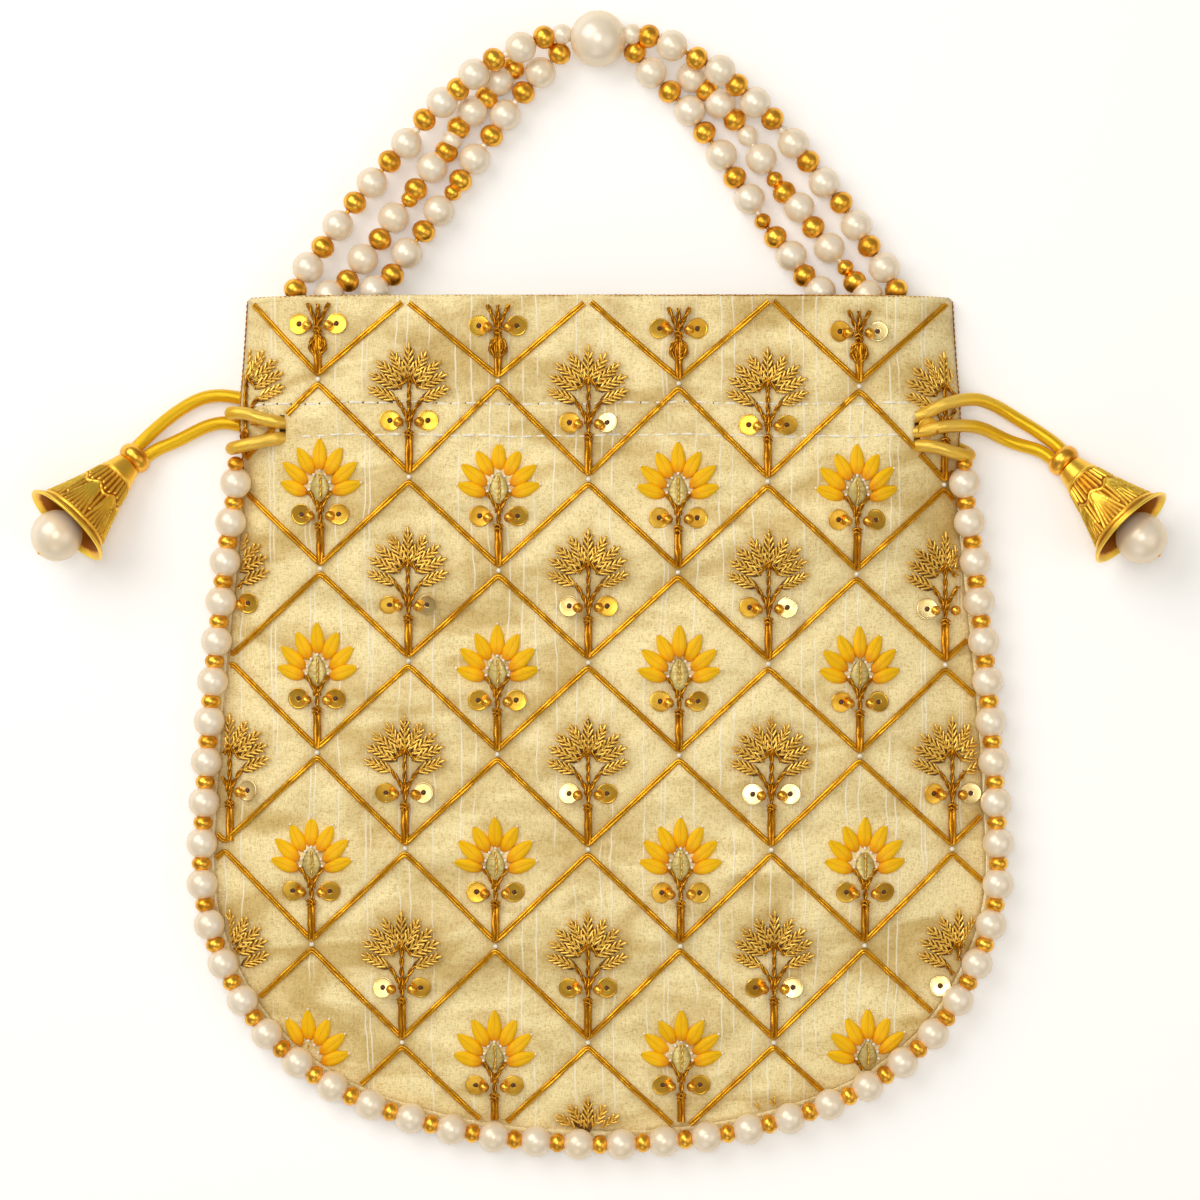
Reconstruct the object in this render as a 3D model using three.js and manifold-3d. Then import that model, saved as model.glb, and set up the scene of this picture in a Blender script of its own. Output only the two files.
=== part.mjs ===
// Potli bag: a drawstring pouch of embroidered silk with beaded handle, pearl edging and bell tassels.
// Millimetres, +Z up. The bag lies empty on its back, front face up, mouth towards +Y.
// The origin is on the floor, under the middle of the bag and its handle.

import * as THREE from 'three';
import { mergeVertices } from 'three/addons/utils/BufferGeometryUtils.js';
import Module from 'manifold-3d';

const wasm = await Module();
wasm.setup();

// Cloth
const PANEL = 0.8;                // outer silk with its backing
const LINING = 0.5;
const CLEARANCE = 0.3;            // between pieces that touch
const MOUTH_Y = 72;               // top edge of the bag
const BODY_CROWN = 15;            // height of the front over the seam at the belly
const MOUTH_CROWN = 12.4;         // the same at the mouth
const LINING_GAP = 0.7;           // the lining hangs loose inside the panels
const LINING_INSET = 4;           // seam of the lining inside the seam of the bag
const LINING_FLOOR_INSET = 15;    // the same at the bottom of the bag

// Side seam of the bag, right half, from the mouth down to the middle of the bottom
const SEAM_POINTS = [
  [88.4, MOUTH_Y], [89.8, 44], [89.4, 27], [91.1, 6], [94.2, -23.8], [96.4, -55], [96.7, -76],
  [92.5, -92], [82, -109.6], [65.8, -122.8], [46.8, -130.6], [26.3, -135.2], [0, -137.4],
];
const BOTTOM_HALF_WIDTH = 12;     // straight stretch in the middle of the bottom seam

// Drawstring channel and its slits
const CORD = 3;                   // diameter of the satin cord
const CHANNEL_Y = 41;             // middle of the channel
const CHANNEL_LOW = 33.4;
const CHANNEL_HIGH = 46.4;
const CHANNEL_FADE = 4.5;         // over which the two cloths part
const CORD_ROOM = CORD + 0.8;     // between panel and lining in the channel
const EDGE_LIFT = 7;              // the cords behind the sides lift them off the floor
const EDGE_LIFT_REACH = 10.5;
const CHANNEL_INSET = 18;         // the lining stops short of the slits
const SLIT_X = 80;
const SLIT_WIDTH = 7.4;
const SLIT_LOW = 33;
const SLIT_HIGH = 44.8;
const BACK_SLIT_X = 86;
const BACK_SLIT_WIDTH = 4.2;
const BACK_SLIT_LOW = 33.4;
const BACK_SLIT_HIGH = 49.2;

// Pearl edging
const EDGE_PEARL = 7.8;
const EDGE_SPACER = 5;
const EDGE_PEARLS = 46;
const EDGE_START_Y = 29.5;        // level of the first pearl on each side
const EDGE_OUT = 2.9;             // strand outside the seam
const EDGE_UP = 3.1;              // strand above the seam
const BEAD_SIDES = 6;

// Handle
const HANDLE_X = -0.5;            // middle of the handle
const HANDLE_PEARL = 7.5;
const HANDLE_GOLD = 5.2;
const HANDLE_STEP = 6.65;         // from one bead to the next
const THREAD = 1.6;               // the two outer strands share one through the grip pearl
const GRIP_PEARL = 14;
const GRIP_Y = 137;
const GRIP_BORE = 3;

// Embroidery
const LATTICE_X = -2.95;          // the lattice sits a little left of the middle
const LATTICE_WIDTH = 45.5;       // one diamond across
const LATTICE_TOP = 51.5;         // first row of crossings under the mouth
const LATTICE_STEP = 23.4;        // from one row of crossings to the next
const LATTICE_ROWS = 9;
const LATTICE_CORD = 1.5;
const LATTICE_PART = 2.2;         // between the two cords at a crossing
const LATTICE_MARGIN = 3;         // kept free along the seam
const LATTICE_SIDES = 4;
const STITCH_GAP = 0.45;          // embroidery over the cloth
const MOTIF_THICK = 1;
const MOTIF_REACH = 10;           // from the stem to the tip of a leaf
const SIDE_SPRIG_ROWS = [3, 5];   // where a small half sprig stands at the left seam
const SIDE_SPRIG = 0.78;          // its size beside a whole one
const PETAL_THICK = 1.3;

// Tassels
const BELL_LENGTH = 22.4;
const BELL_MOUTH = 24;            // outer diameters
const BELL_NECK = 7;
const BELL_WALL = 0.9;
const BELL_SIDES = 12;
const RING = 8.5;
const RING_THICK = 3.5;
const TASSEL_PEARL = 12.8;
const TASSEL_PEARL_OUT = 3.4;     // centre of the pearl beyond the mouth of the bell
const PIN = 1.4;
const LEFT_RING = [-117, 31.8];
const RIGHT_RING = [116.5, 31.2];
const TASSEL_SLANT = 46.5 * Math.PI / 180;   // from the X axis, downwards

const COLOURS = {
  silk: { color: 0xcdb487, roughness: 0.55, metalness: 0.1 },
  lining: { color: 0xbfa374, roughness: 0.7, metalness: 0 },
  pearl: { color: 0xf3e9da, roughness: 0.25, metalness: 0 },
  gold: { color: 0xc98a1c, roughness: 0.28, metalness: 0.9 },
  thread: { color: 0xc28a14, roughness: 0.4, metalness: 0.6 },
  petal: { color: 0xf7ab12, roughness: 0.5, metalness: 0 },
  cord: { color: 0xd09a1e, roughness: 0.4, metalness: 0.2 },
  bell: { color: 0xb9852a, roughness: 0.35, metalness: 0.9 },
};

const bag = new THREE.Group();

function addMesh(name, geometry, finish) {
  const mesh = new THREE.Mesh(geometry, new THREE.MeshStandardMaterial(COLOURS[finish]));
  mesh.name = name;
  bag.add(mesh);
  return mesh;
}

// General shapes

const lerp = THREE.MathUtils.lerp;
const smoothstep = THREE.MathUtils.smoothstep;
const bump = (value, middle, reach) => Math.exp(-(((value - middle) / reach) ** 2));

function fromArrays(points, triangles) {
  const geometry = new THREE.BufferGeometry();
  geometry.setAttribute('position', new THREE.Float32BufferAttribute(points.flat(), 3));
  geometry.setIndex(triangles.flat());
  geometry.computeVertexNormals();
  return geometry;
}

// Closed body through a row of rings with equal numbers of points, capped at both ends
function ringBody(rings) {
  const count = rings[0].length;
  const points = rings.flat();
  const triangles = [];
  for (let ring = 0; ring + 1 < rings.length; ring += 1) {
    for (let i = 0; i < count; i += 1) {
      const a = ring * count + i;
      const b = ring * count + ((i + 1) % count);
      triangles.push([a, b, b + count], [a, b + count, a + count]);
    }
  }
  const last = (rings.length - 1) * count;
  for (let i = 1; i + 1 < count; i += 1) {
    triangles.push([0, i + 1, i], [last, last + i, last + i + 1]);
  }
  return fromArrays(points, triangles);
}

// Rings square to a path, each with its own radius
function sweptRings(path, radii, sides, turn = 0) {
  const up = new THREE.Vector3(0, 0, 1);
  return path.map((point, i) => {
    const before = path[Math.max(i - 1, 0)];
    const after = path[Math.min(i + 1, path.length - 1)];
    const along = after.clone().sub(before).normalize();
    const side = along.clone().cross(up).normalize();
    const top = side.clone().cross(along);
    const ring = [];
    for (let k = 0; k < sides; k += 1) {
      const angle = (2 * Math.PI * (k + turn)) / sides;
      const at = point.clone().addScaledVector(side, -radii[i] * Math.cos(angle));
      at.addScaledVector(top, radii[i] * Math.sin(angle));
      ring.push(at.toArray());
    }
    return ring;
  });
}

// Closed sheet between an upper and a lower surface over a grid of rows and columns
function sheet(rows, columns, placeX, upper, lower) {
  const width = columns.length;
  const total = rows.length * width;
  const points = [];
  for (const surface of [upper, lower]) {
    for (const y of rows) {
      for (const u of columns) {
        const x = placeX(u, y);
        points.push([x, y, surface(x, y)]);
      }
    }
  }
  const triangles = [];
  for (let row = 0; row + 1 < rows.length; row += 1) {
    for (let column = 0; column + 1 < width; column += 1) {
      const a = row * width + column;
      const [b, c, d] = [a + 1, a + 1 + width, a + width];
      triangles.push([a, b, c], [a, c, d]);
      triangles.push([a + total, c + total, b + total], [a + total, d + total, c + total]);
    }
  }
  const border = [];
  for (let i = 0; i < width; i += 1) border.push(i);
  for (let i = 1; i < rows.length; i += 1) border.push(i * width + width - 1);
  for (let i = width - 2; i >= 0; i -= 1) border.push((rows.length - 1) * width + i);
  for (let i = rows.length - 2; i > 0; i -= 1) border.push(i * width);
  border.forEach((a, i) => {
    const b = border[(i + 1) % border.length];
    triangles.push([a, a + total, b + total], [a, b + total, b]);
  });
  return fromArrays(points, triangles);
}

function toSolid(geometry) {
  const bare = geometry.clone();
  bare.deleteAttribute('normal');
  bare.deleteAttribute('uv');
  const merged = mergeVertices(bare, 1e-4);
  return new wasm.Manifold(new wasm.Mesh({
    numProp: 3,
    vertProperties: new Float32Array(merged.attributes.position.array),
    triVerts: new Uint32Array(merged.index.array),
  }));
}

function fromSolid(solid) {
  const mesh = solid.getMesh();
  const geometry = new THREE.BufferGeometry();
  geometry.setAttribute('position', new THREE.BufferAttribute(new Float32Array(mesh.vertProperties), 3));
  geometry.setIndex(new THREE.BufferAttribute(new Uint32Array(mesh.triVerts), 1));
  geometry.computeVertexNormals();
  return geometry;
}

function box(width, depth, height, x, y, z) {
  return new THREE.BoxGeometry(width, depth, height).translate(x, y, z);
}

// Form of the bag

const seamCurve = new THREE.CatmullRomCurve3(
  SEAM_POINTS.map(([x, y]) => new THREE.Vector3(x, y, 0)), false, 'centripetal',
);
const SEAM_LINE = seamCurve.getSpacedPoints(400);
const BOTTOM_Y = SEAM_LINE.find((point) => point.x <= BOTTOM_HALF_WIDTH).y;

function halfWidth(y) {
  const next = SEAM_LINE.findIndex((point) => point.y <= y);
  if (next < 1) return next === 0 ? SEAM_LINE[0].x : BOTTOM_HALF_WIDTH;
  const [above, below] = [SEAM_LINE[next - 1], SEAM_LINE[next]];
  return lerp(above.x, below.x, (above.y - y) / (above.y - below.y));
}

const edgeLift = (y) => EDGE_LIFT * bump(y, CHANNEL_Y, EDGE_LIFT_REACH);
const seamTop = (y) => 2 * PANEL + CLEARANCE + edgeLift(y);
const share = (x, y) => Math.min(Math.abs(x) / halfWidth(y), 1);

// Upper side of the front panel
function frontHeight(x, y) {
  const along = (y - BOTTOM_Y) / (MOUTH_Y - BOTTOM_Y);
  const crown = lerp(BODY_CROWN, MOUTH_CROWN, smoothstep(along, 0.62, 1)) * (1 - (1 - along) ** 2.6);
  const top = 2 * PANEL + CLEARANCE + crown;
  const fullness = lerp(2.4, 8, smoothstep(y, -10, 33));
  return lerp(top, seamTop(y), share(x, y) ** fullness);
}

// Under side of the back panel
const backHeight = (x, y) => edgeLift(y) * share(x, y) ** 6;

// Space between panel and lining, wide in the channel
function liningGap(y) {
  const above = smoothstep(y, CHANNEL_LOW - CHANNEL_FADE, CHANNEL_LOW);
  const below = 1 - smoothstep(y, CHANNEL_HIGH, CHANNEL_HIGH + CHANNEL_FADE);
  return lerp(LINING_GAP, CORD_ROOM, above * below);
}

// Levels and columns of the panels, closer together where the cloth curves
const fromBottom = (rise) => BOTTOM_Y + rise;
const PANEL_ROWS = [
  ...[0, 1.6, 5, 11, 20, 33, 50, 72, 96, 120, 141].map(fromBottom),
  16, 23, 29, 35, CHANNEL_Y, 47, 54, 62, MOUTH_Y,
];
const FRONT_COLUMNS = [-1, -0.97, -0.91, -0.8, -0.58, -0.3, 0, 0.3, 0.58, 0.8, 0.91, 0.97, 1];
const BACK_COLUMNS = [-1, -0.94, -0.86, -0.75, -0.55, 0.55, 0.75, 0.86, 0.94, 1];
const placeInPanel = (u, y) => u * halfWidth(y);

function frontPanel() {
  const lower = (x, y) => frontHeight(x, y) - PANEL;
  let panel = toSolid(sheet(PANEL_ROWS, FRONT_COLUMNS, placeInPanel, frontHeight, lower));
  for (const side of [-1, 1]) {
    const middle = (SLIT_LOW + SLIT_HIGH) / 2;
    const slit = box(SLIT_WIDTH, SLIT_HIGH - SLIT_LOW, BODY_CROWN * 2, side * SLIT_X, middle, BODY_CROWN);
    panel = panel.subtract(toSolid(slit));
  }
  addMesh('front_panel', fromSolid(panel), 'silk');
}

function backPanel() {
  const upper = (x, y) => backHeight(x, y) + PANEL;
  let panel = toSolid(sheet(PANEL_ROWS, BACK_COLUMNS, placeInPanel, upper, backHeight));
  for (const side of [-1, 1]) {
    const middle = (BACK_SLIT_LOW + BACK_SLIT_HIGH) / 2;
    const depth = BACK_SLIT_HIGH - BACK_SLIT_LOW;
    const slit = box(BACK_SLIT_WIDTH, depth, BODY_CROWN, side * BACK_SLIT_X, middle, BODY_CROWN / 2);
    panel = panel.subtract(toSolid(slit));
  }
  addMesh('back_panel', fromSolid(panel), 'silk');
}

// Lining pouch, open at the mouth
function lining() {
  const columns = [-1, -0.85, -0.45, 0, 0.45, 0.85, 1];
  const fold = (y) => 2 * (PANEL + liningGap(y) + LINING) + CLEARANCE;
  const hasRoom = (x, y) => frontHeight(x, y) - backHeight(x, y) >= fold(y);
  let floor = fromBottom(LINING_FLOOR_INSET);
  while (!hasRoom(LINING_INSET, floor)) floor += LINING;
  const rows = [
    floor,
    ...PANEL_ROWS.filter((y) => y > floor + LINING_INSET && y < CHANNEL_LOW - CHANNEL_FADE),
    CHANNEL_LOW - CHANNEL_FADE, CHANNEL_LOW, CHANNEL_Y, CHANNEL_HIGH,
    CHANNEL_HIGH + CHANNEL_FADE, 61, MOUTH_Y,
  ];
  const loop = (y, inward) => {
    const inset = LINING_INSET + CHANNEL_INSET * bump(y, CHANNEL_Y, EDGE_LIFT_REACH);
    let seam = halfWidth(y) - inset;
    while (!hasRoom(seam, y)) seam -= LINING;
    const reach = seam - inward;
    const gap = PANEL + liningGap(y) + inward;
    const front = columns.map((u) => [u * reach, y, frontHeight(u * reach, y) - gap]);
    const back = columns.map((u) => [-u * reach, y, backHeight(u * reach, y) + gap]);
    const middle = columns.indexOf(0);
    return [...front.slice(middle), ...back, ...front.slice(0, middle)];
  };
  const outer = rows.map((y) => loop(y, 0));
  const inner = rows.map((y, i) => loop(i === 0 ? y + LINING : y, LINING));
  addMesh('lining', ringBody([...outer, ...inner.toReversed()]), 'lining');
}

// Beads on their thread: each bead is a few rings, and the thread runs between them
const PEARL_RINGS = [[-0.8, 0.6], [0, 1], [0.8, 0.6]];
const GOLD_RINGS = [[-0.45, 0.9], [0.45, 0.9]];
const SPACER_RINGS = [[0, 1]];
const THREAD_RINGS = [[-2, 1], [0, 1]];

function beadStrand(curve, beads) {
  const length = curve.getLength();
  const path = [];
  const radii = [];
  for (const { at, radius, rings } of beads) {
    for (const [along, wide] of rings) {
      path.push(curve.getPointAt(THREE.MathUtils.clamp((at + along * radius) / length, 0, 1)));
      radii.push(radius * wide);
    }
  }
  return ringBody(sweptRings(path, radii, BEAD_SIDES));
}

function edgeStrand() {
  const line = SEAM_LINE.filter((point) => point.y < EDGE_START_Y);
  const half = line.filter((point, i) => i % 8 === 0 && point.x > EDGE_OUT).map((point) => {
    const before = SEAM_LINE[SEAM_LINE.indexOf(point) - 1];
    const along = point.clone().sub(before).normalize();
    const out = new THREE.Vector3(-along.y, along.x, 0);
    const strand = point.clone().addScaledVector(out, EDGE_OUT);
    return strand.setZ(seamTop(point.y) + EDGE_UP);
  });
  const other = half.map((point) => new THREE.Vector3(-point.x, point.y, point.z)).toReversed();
  const curve = new THREE.CatmullRomCurve3([...half, ...other], false, 'centripetal');
  const pearl = EDGE_PEARL / 2;
  const pitch = (curve.getLength() - 2 * pearl) / (EDGE_PEARLS - 1);
  const beads = [];
  for (let i = 0; i < EDGE_PEARLS; i += 1) {
    beads.push({ at: pearl + i * pitch, radius: pearl, rings: PEARL_RINGS });
    if (i + 1 < EDGE_PEARLS) {
      beads.push({ at: pearl + (i + 0.5) * pitch, radius: EDGE_SPACER / 2, rings: SPACER_RINGS });
    }
  }
  addMesh('edge_pearl_strand', beadStrand(curve, beads), 'pearl');
}

// Handle: three bead strands a side, sewn inside the mouth and drawn together at the grip pearl.
// Left side, from the root up; the right side is its mirror image. The middle number is the share
// of the way from the mouth to the grip pearl.
const GRIP_Z = GRIP_PEARL / 2;
const GRIP_SIDE = HANDLE_X - GRIP_PEARL / 2;
const STRAND_ROUTES = {
  outer: [
    [-76.2, 0.031, 5.9], [-71, 0.157, 5], [-65.8, 0.285, 4], [-57.2, 0.449, 4], [-48.5, 0.6, 4.6],
    [-39.5, 0.754, 7], [-31.5, 0.858, 9], [-19.8, 0.962, 9], [GRIP_SIDE - 6.5, 1.003, GRIP_Z + 1],
    [GRIP_SIDE - 2.5, 1.009, GRIP_Z + 0.2], [GRIP_SIDE, 1, GRIP_Z], [GRIP_SIDE + 2.5, 1, GRIP_Z],
  ],
  middle: [
    [-67.8, 0.025, 5.9], [-59.5, 0.163, 4.6], [-51.8, 0.315, 3.9], [-42.2, 0.508, 3.9],
    [-32, 0.726, 3.9], [-25.5, 0.843, 3.8], [-21.8, 0.892, 3.2],
  ],
  inner: [
    [-56.5, 0.031, 5.9], [-48.5, 0.177, 4.6], [-40.5, 0.342, 3.9], [-31.5, 0.542, 3.9],
    [-23.8, 0.711, 4], [-15, 0.874, 4.8], [-10.4, 0.942, 5.6],
  ],
};
const FIRST_BEAD = { outer: 'gold', middle: 'pearl', inner: 'pearl' };
const THREAD_TAIL = { outer: 6, middle: 2.5, inner: 2.5 };   // free of beads at the upper end

function handleStrands() {
  for (const [name, route] of Object.entries(STRAND_ROUTES)) {
    for (const side of ['left', 'right']) {
      const place = (x) => (side === 'left' ? x : 2 * HANDLE_X - x);
      const level = (rise) => lerp(MOUTH_Y, GRIP_Y, rise);
      const points = route.map(([x, rise, z]) => new THREE.Vector3(place(x), level(rise), z));
      const curve = new THREE.CatmullRomCurve3(points, false, 'centripetal');
      const beads = [];
      let gold = FIRST_BEAD[name] === 'gold';
      const end = curve.getLength();
      for (let at = 0; at < end - THREAD_TAIL[name]; at += HANDLE_STEP) {
        const radius = (gold ? HANDLE_GOLD : HANDLE_PEARL) / 2;
        beads.push({ at, radius, rings: gold ? GOLD_RINGS : PEARL_RINGS });
        gold = !gold;
      }
      beads.push({ at: end, radius: THREAD / 2, rings: THREAD_RINGS });
      addMesh(`handle_strand_${name}_${side}`, beadStrand(curve, beads), 'pearl');
    }
  }
}

function gripPearl() {
  const ball = toSolid(new THREE.SphereGeometry(GRIP_PEARL / 2, 14, 8));
  const bore = new THREE.CylinderGeometry(GRIP_BORE / 2, GRIP_BORE / 2, GRIP_PEARL * 2, 8);
  const pearl = fromSolid(ball.subtract(toSolid(bore.rotateZ(Math.PI / 2))));
  addMesh('grip_pearl', pearl, 'pearl').position.set(HANDLE_X, GRIP_Y, GRIP_PEARL / 2);
}

// Embroidery, drawn flat and then laid on the front panel

// Right halves of the motifs, from the foot of the stem up to the tip
const SPRIG = [
  [0.8, 0], [0.8, 10], [6.8, 12.4], [0.9, 14.6], [2.4, 17.4], [6.2, 17.6],
  [9.8, 20.8], [4.6, 20.9], [8.6, 25.2], [4, 25.4], [5, 28.4], [1.8, 27.8], [0, 31.6],
];
const FLOWER_STEM = [
  [0.8, 0], [0.8, 9.6], [6.8, 11.9], [0.9, 14.2], [2.6, 16.4], [1.2, 15.8],
  [2, 18.6], [0, 22.2],
];
const BUD = [
  [0.7, 0], [0.9, 4], [2.2, 7.4], [0.9, 10.2], [6.9, 12.7], [1, 14.8],
  [2.9, 17.4], [1.7, 17.8], [0, 15.4],
];
const PETALS = [
  [2.9, 17], [6.8, 17.5], [9.7, 20.4], [5.2, 20.2], [7.9, 22], [8.9, 24.8], [5.9, 24],
  [3.8, 22.6], [5.3, 25.2], [5, 28.3], [1.9, 25], [1.5, 27.4], [0, 30.6],
];
const PETAL_THROAT = [[0, 23], [1.8, 21.6], [2.6, 18.8]];   // round the leaf, from the top down

const mirrored = (half) => half.filter(([x]) => x > 0).map(([x, y]) => [-x, y]).toReversed();
const whole = (half) => [...half, ...mirrored(half)];
const inner = (half, side) => [...half, [0, half[0][1]]].map(([x, y]) => [-side * x, y]);
const fan = [...PETALS, ...mirrored(PETALS), ...mirrored(PETAL_THROAT), ...PETAL_THROAT];
const halfFan = [...PETALS, ...PETAL_THROAT];

function motif(outline, thickness, x, y) {
  const shape = new THREE.Shape(outline.map(([px, py]) => new THREE.Vector2(px, py)));
  const geometry = new THREE.ExtrudeGeometry(shape, { depth: thickness, bevelEnabled: false });
  return geometry.translate(x, y, STITCH_GAP);
}

function layOnPanel(geometry) {
  const position = geometry.attributes.position;
  for (let i = 0; i < position.count; i += 1) {
    position.setZ(i, position.getZ(i) + panelTop(position.getX(i), position.getY(i)));
  }
  geometry.computeVertexNormals();
  return geometry;
}

// Height of the front panel's own facets
function panelTop(x, y) {
  const row = Math.max(PANEL_ROWS.findIndex((level) => level > y), 1);
  const [low, high] = [PANEL_ROWS[row - 1], PANEL_ROWS[row]];
  const up = (y - low) / (high - low);
  const u = x / lerp(halfWidth(low), halfWidth(high), up);
  const right = Math.max(FRONT_COLUMNS.findIndex((column) => column > u), 1);
  const across = (u - FRONT_COLUMNS[right - 1]) / (FRONT_COLUMNS[right] - FRONT_COLUMNS[right - 1]);
  const corner = (column, level) => frontHeight(placeInPanel(FRONT_COLUMNS[column], level), level);
  const [a, b] = [corner(right - 1, low), corner(right, low)];
  const [c, d] = [corner(right, high), corner(right - 1, high)];
  return across > up ? a + across * (b - a) + up * (c - b) : a + up * (d - a) + across * (c - d);
}

function onPanel(x, y) {
  const bySide = Math.abs(x) + LATTICE_MARGIN < halfWidth(y);
  const byBottom = Math.abs(x) < halfWidth(y - LATTICE_MARGIN) && y - LATTICE_MARGIN > BOTTOM_Y;
  const atSlit = Math.abs(x) > SLIT_X - SLIT_WIDTH / 2 - LATTICE_MARGIN / 2
    && y < SLIT_HIGH + LATTICE_MARGIN / 2 && y > SLIT_LOW - LATTICE_MARGIN;
  return bySide && byBottom && !atSlit && y < MOUTH_Y - LATTICE_CORD / 2;
}

const crossingY = (row) => (row === 0 ? MOUTH_Y - LATTICE_CORD : LATTICE_TOP - (row - 1) * LATTICE_STEP);
const crossingX = (row, column) => LATTICE_X + (column + (row % 2) / 2) * LATTICE_WIDTH;

// One zigzag cord between two rows of crossings, cut off where it meets the seam or a slit
function zigzag(row) {
  const corners = [];
  for (let column = -3; column <= 3; column += 1) {
    const top = [crossingX(row, column), crossingY(row) - (row === 0 ? 0 : LATTICE_PART / 2)];
    const low = [crossingX(row + 1, column + (row % 2)), crossingY(row + 1) + LATTICE_PART / 2];
    while (Math.abs(low[0]) < halfWidth(low[1] + LATTICE_STEP / 4) - LATTICE_MARGIN && low[1] < -100
      && !onPanel(...low)) low[1] += LATTICE_MARGIN / 10;
    corners.push(top, low);
  }
  corners.sort((a, b) => a[0] - b[0]);
  const line = [];
  corners.slice(1).forEach((corner, i) => {
    const from = corners[i];
    const steep = Math.max(share(...from), share(...corner)) > 0.75;
    const parts = steep ? 6 : 2;
    for (let k = 0; k < parts; k += 1) {
      line.push([lerp(from[0], corner[0], k / parts), lerp(from[1], corner[1], k / parts)]);
    }
  });
  const middle = line.findIndex(([x]) => x >= LATTICE_X);
  const cut = (inside, outside) => {
    let [near, far] = [inside, outside];
    for (let i = 0; i < 12; i += 1) {
      const half = [(near[0] + far[0]) / 2, (near[1] + far[1]) / 2];
      if (onPanel(...half)) near = half; else far = half;
    }
    return near;
  };
  let [first, last] = [middle, middle];
  while (onPanel(...line[first - 1])) first -= 1;
  while (onPanel(...line[last + 1])) last += 1;
  const [start, end] = [cut(line[first], line[first - 1]), cut(line[last], line[last + 1])];
  const run = [start, ...line.slice(first, last + 1), end];
  return { run, lows: corners.filter(([, y]) => y < crossingY(row) - LATTICE_STEP / 2) };
}

function embroideryRow(row) {
  const { run, lows } = zigzag(row);
  const level = STITCH_GAP + LATTICE_CORD / 2;
  const path = run.map(([x, y]) => new THREE.Vector3(x, y, level));
  const radius = LATTICE_CORD / Math.SQRT2;
  let work = toSolid(ringBody(sweptRings(path, path.map(() => radius), LATTICE_SIDES, 0.5)));
  const standing = row === 0 ? BUD : [FLOWER_STEM, SPRIG][row % 2];
  const inRun = ([x]) => x > run[0][0] + LATTICE_MARGIN && x < run.at(-1)[0] - LATTICE_MARGIN;
  const feet = lows.filter(inRun);
  for (const [x, y] of feet) {
    const cramped = Math.abs(x) + MOTIF_REACH + LATTICE_MARGIN > halfWidth(y + MOTIF_REACH);
    const outline = cramped ? inner(standing, Math.sign(x)) : whole(standing);
    work = work.add(toSolid(motif(outline, MOTIF_THICK, x, y)));
  }
  const leftEnd = run[0];
  if (SIDE_SPRIG_ROWS.includes(row) && feet.every(([x]) => x - leftEnd[0] > LATTICE_WIDTH / 2)) {
    const small = SPRIG.map(([x, y]) => [x * SIDE_SPRIG, y * SIDE_SPRIG]);
    const x = LATTICE_MARGIN - halfWidth(leftEnd[1] + small.at(-1)[1]);
    const y = lerp(leftEnd[1], run[1][1], (x - leftEnd[0]) / (run[1][0] - leftEnd[0]));
    work = work.add(toSolid(motif(inner(small, -1), MOTIF_THICK, x, y)));
  }
  addMesh(`gold_work_row_${row + 1}`, layOnPanel(fromSolid(work)), 'thread');
  return row % 2 === 0 && row > 0 ? lows : [];
}

function embroidery() {
  let count = 0;
  const flower = (outline, x, y) => {
    count += 1;
    const petals = fromSolid(toSolid(motif(outline, PETAL_THICK, x, y)));
    addMesh(`flower_${String(count).padStart(2, '0')}`, layOnPanel(petals), 'petal');
  };
  for (let row = 0; row < LATTICE_ROWS; row += 1) {
    for (const [x, y] of embroideryRow(row)) {
      const tip = y + PETALS.at(-1)[1];
      const reach = Math.abs(x) + PETALS[2][0] + LATTICE_MARGIN;
      if (reach < halfWidth(y + PETALS[0][1])) {
        flower(fan, x, y);
      } else if (Math.abs(x) + LATTICE_MARGIN < halfWidth(tip - LATTICE_STEP / 2)) {
        flower(halfFan.map(([px, py]) => [-Math.sign(x) * px, py]), x, y);
      }
    }
  }
}

// Drawstrings: satin cords through the channel, out of the slits and on to the tassels

function cordTube(name, points, stride) {
  const curve = new THREE.CatmullRomCurve3(points.map((p) => new THREE.Vector3(...p)), false, 'centripetal');
  const section = new THREE.Shape();
  section.absarc(0, 0, CORD / 2, 0, 2 * Math.PI);
  const steps = Math.round(curve.getLength() / stride);
  const options = { extrudePath: curve, steps, curveSegments: 4, bevelEnabled: false };
  addMesh(name, fromSolid(toSolid(new THREE.ExtrudeGeometry(section, options))), 'cord');
}

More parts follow.
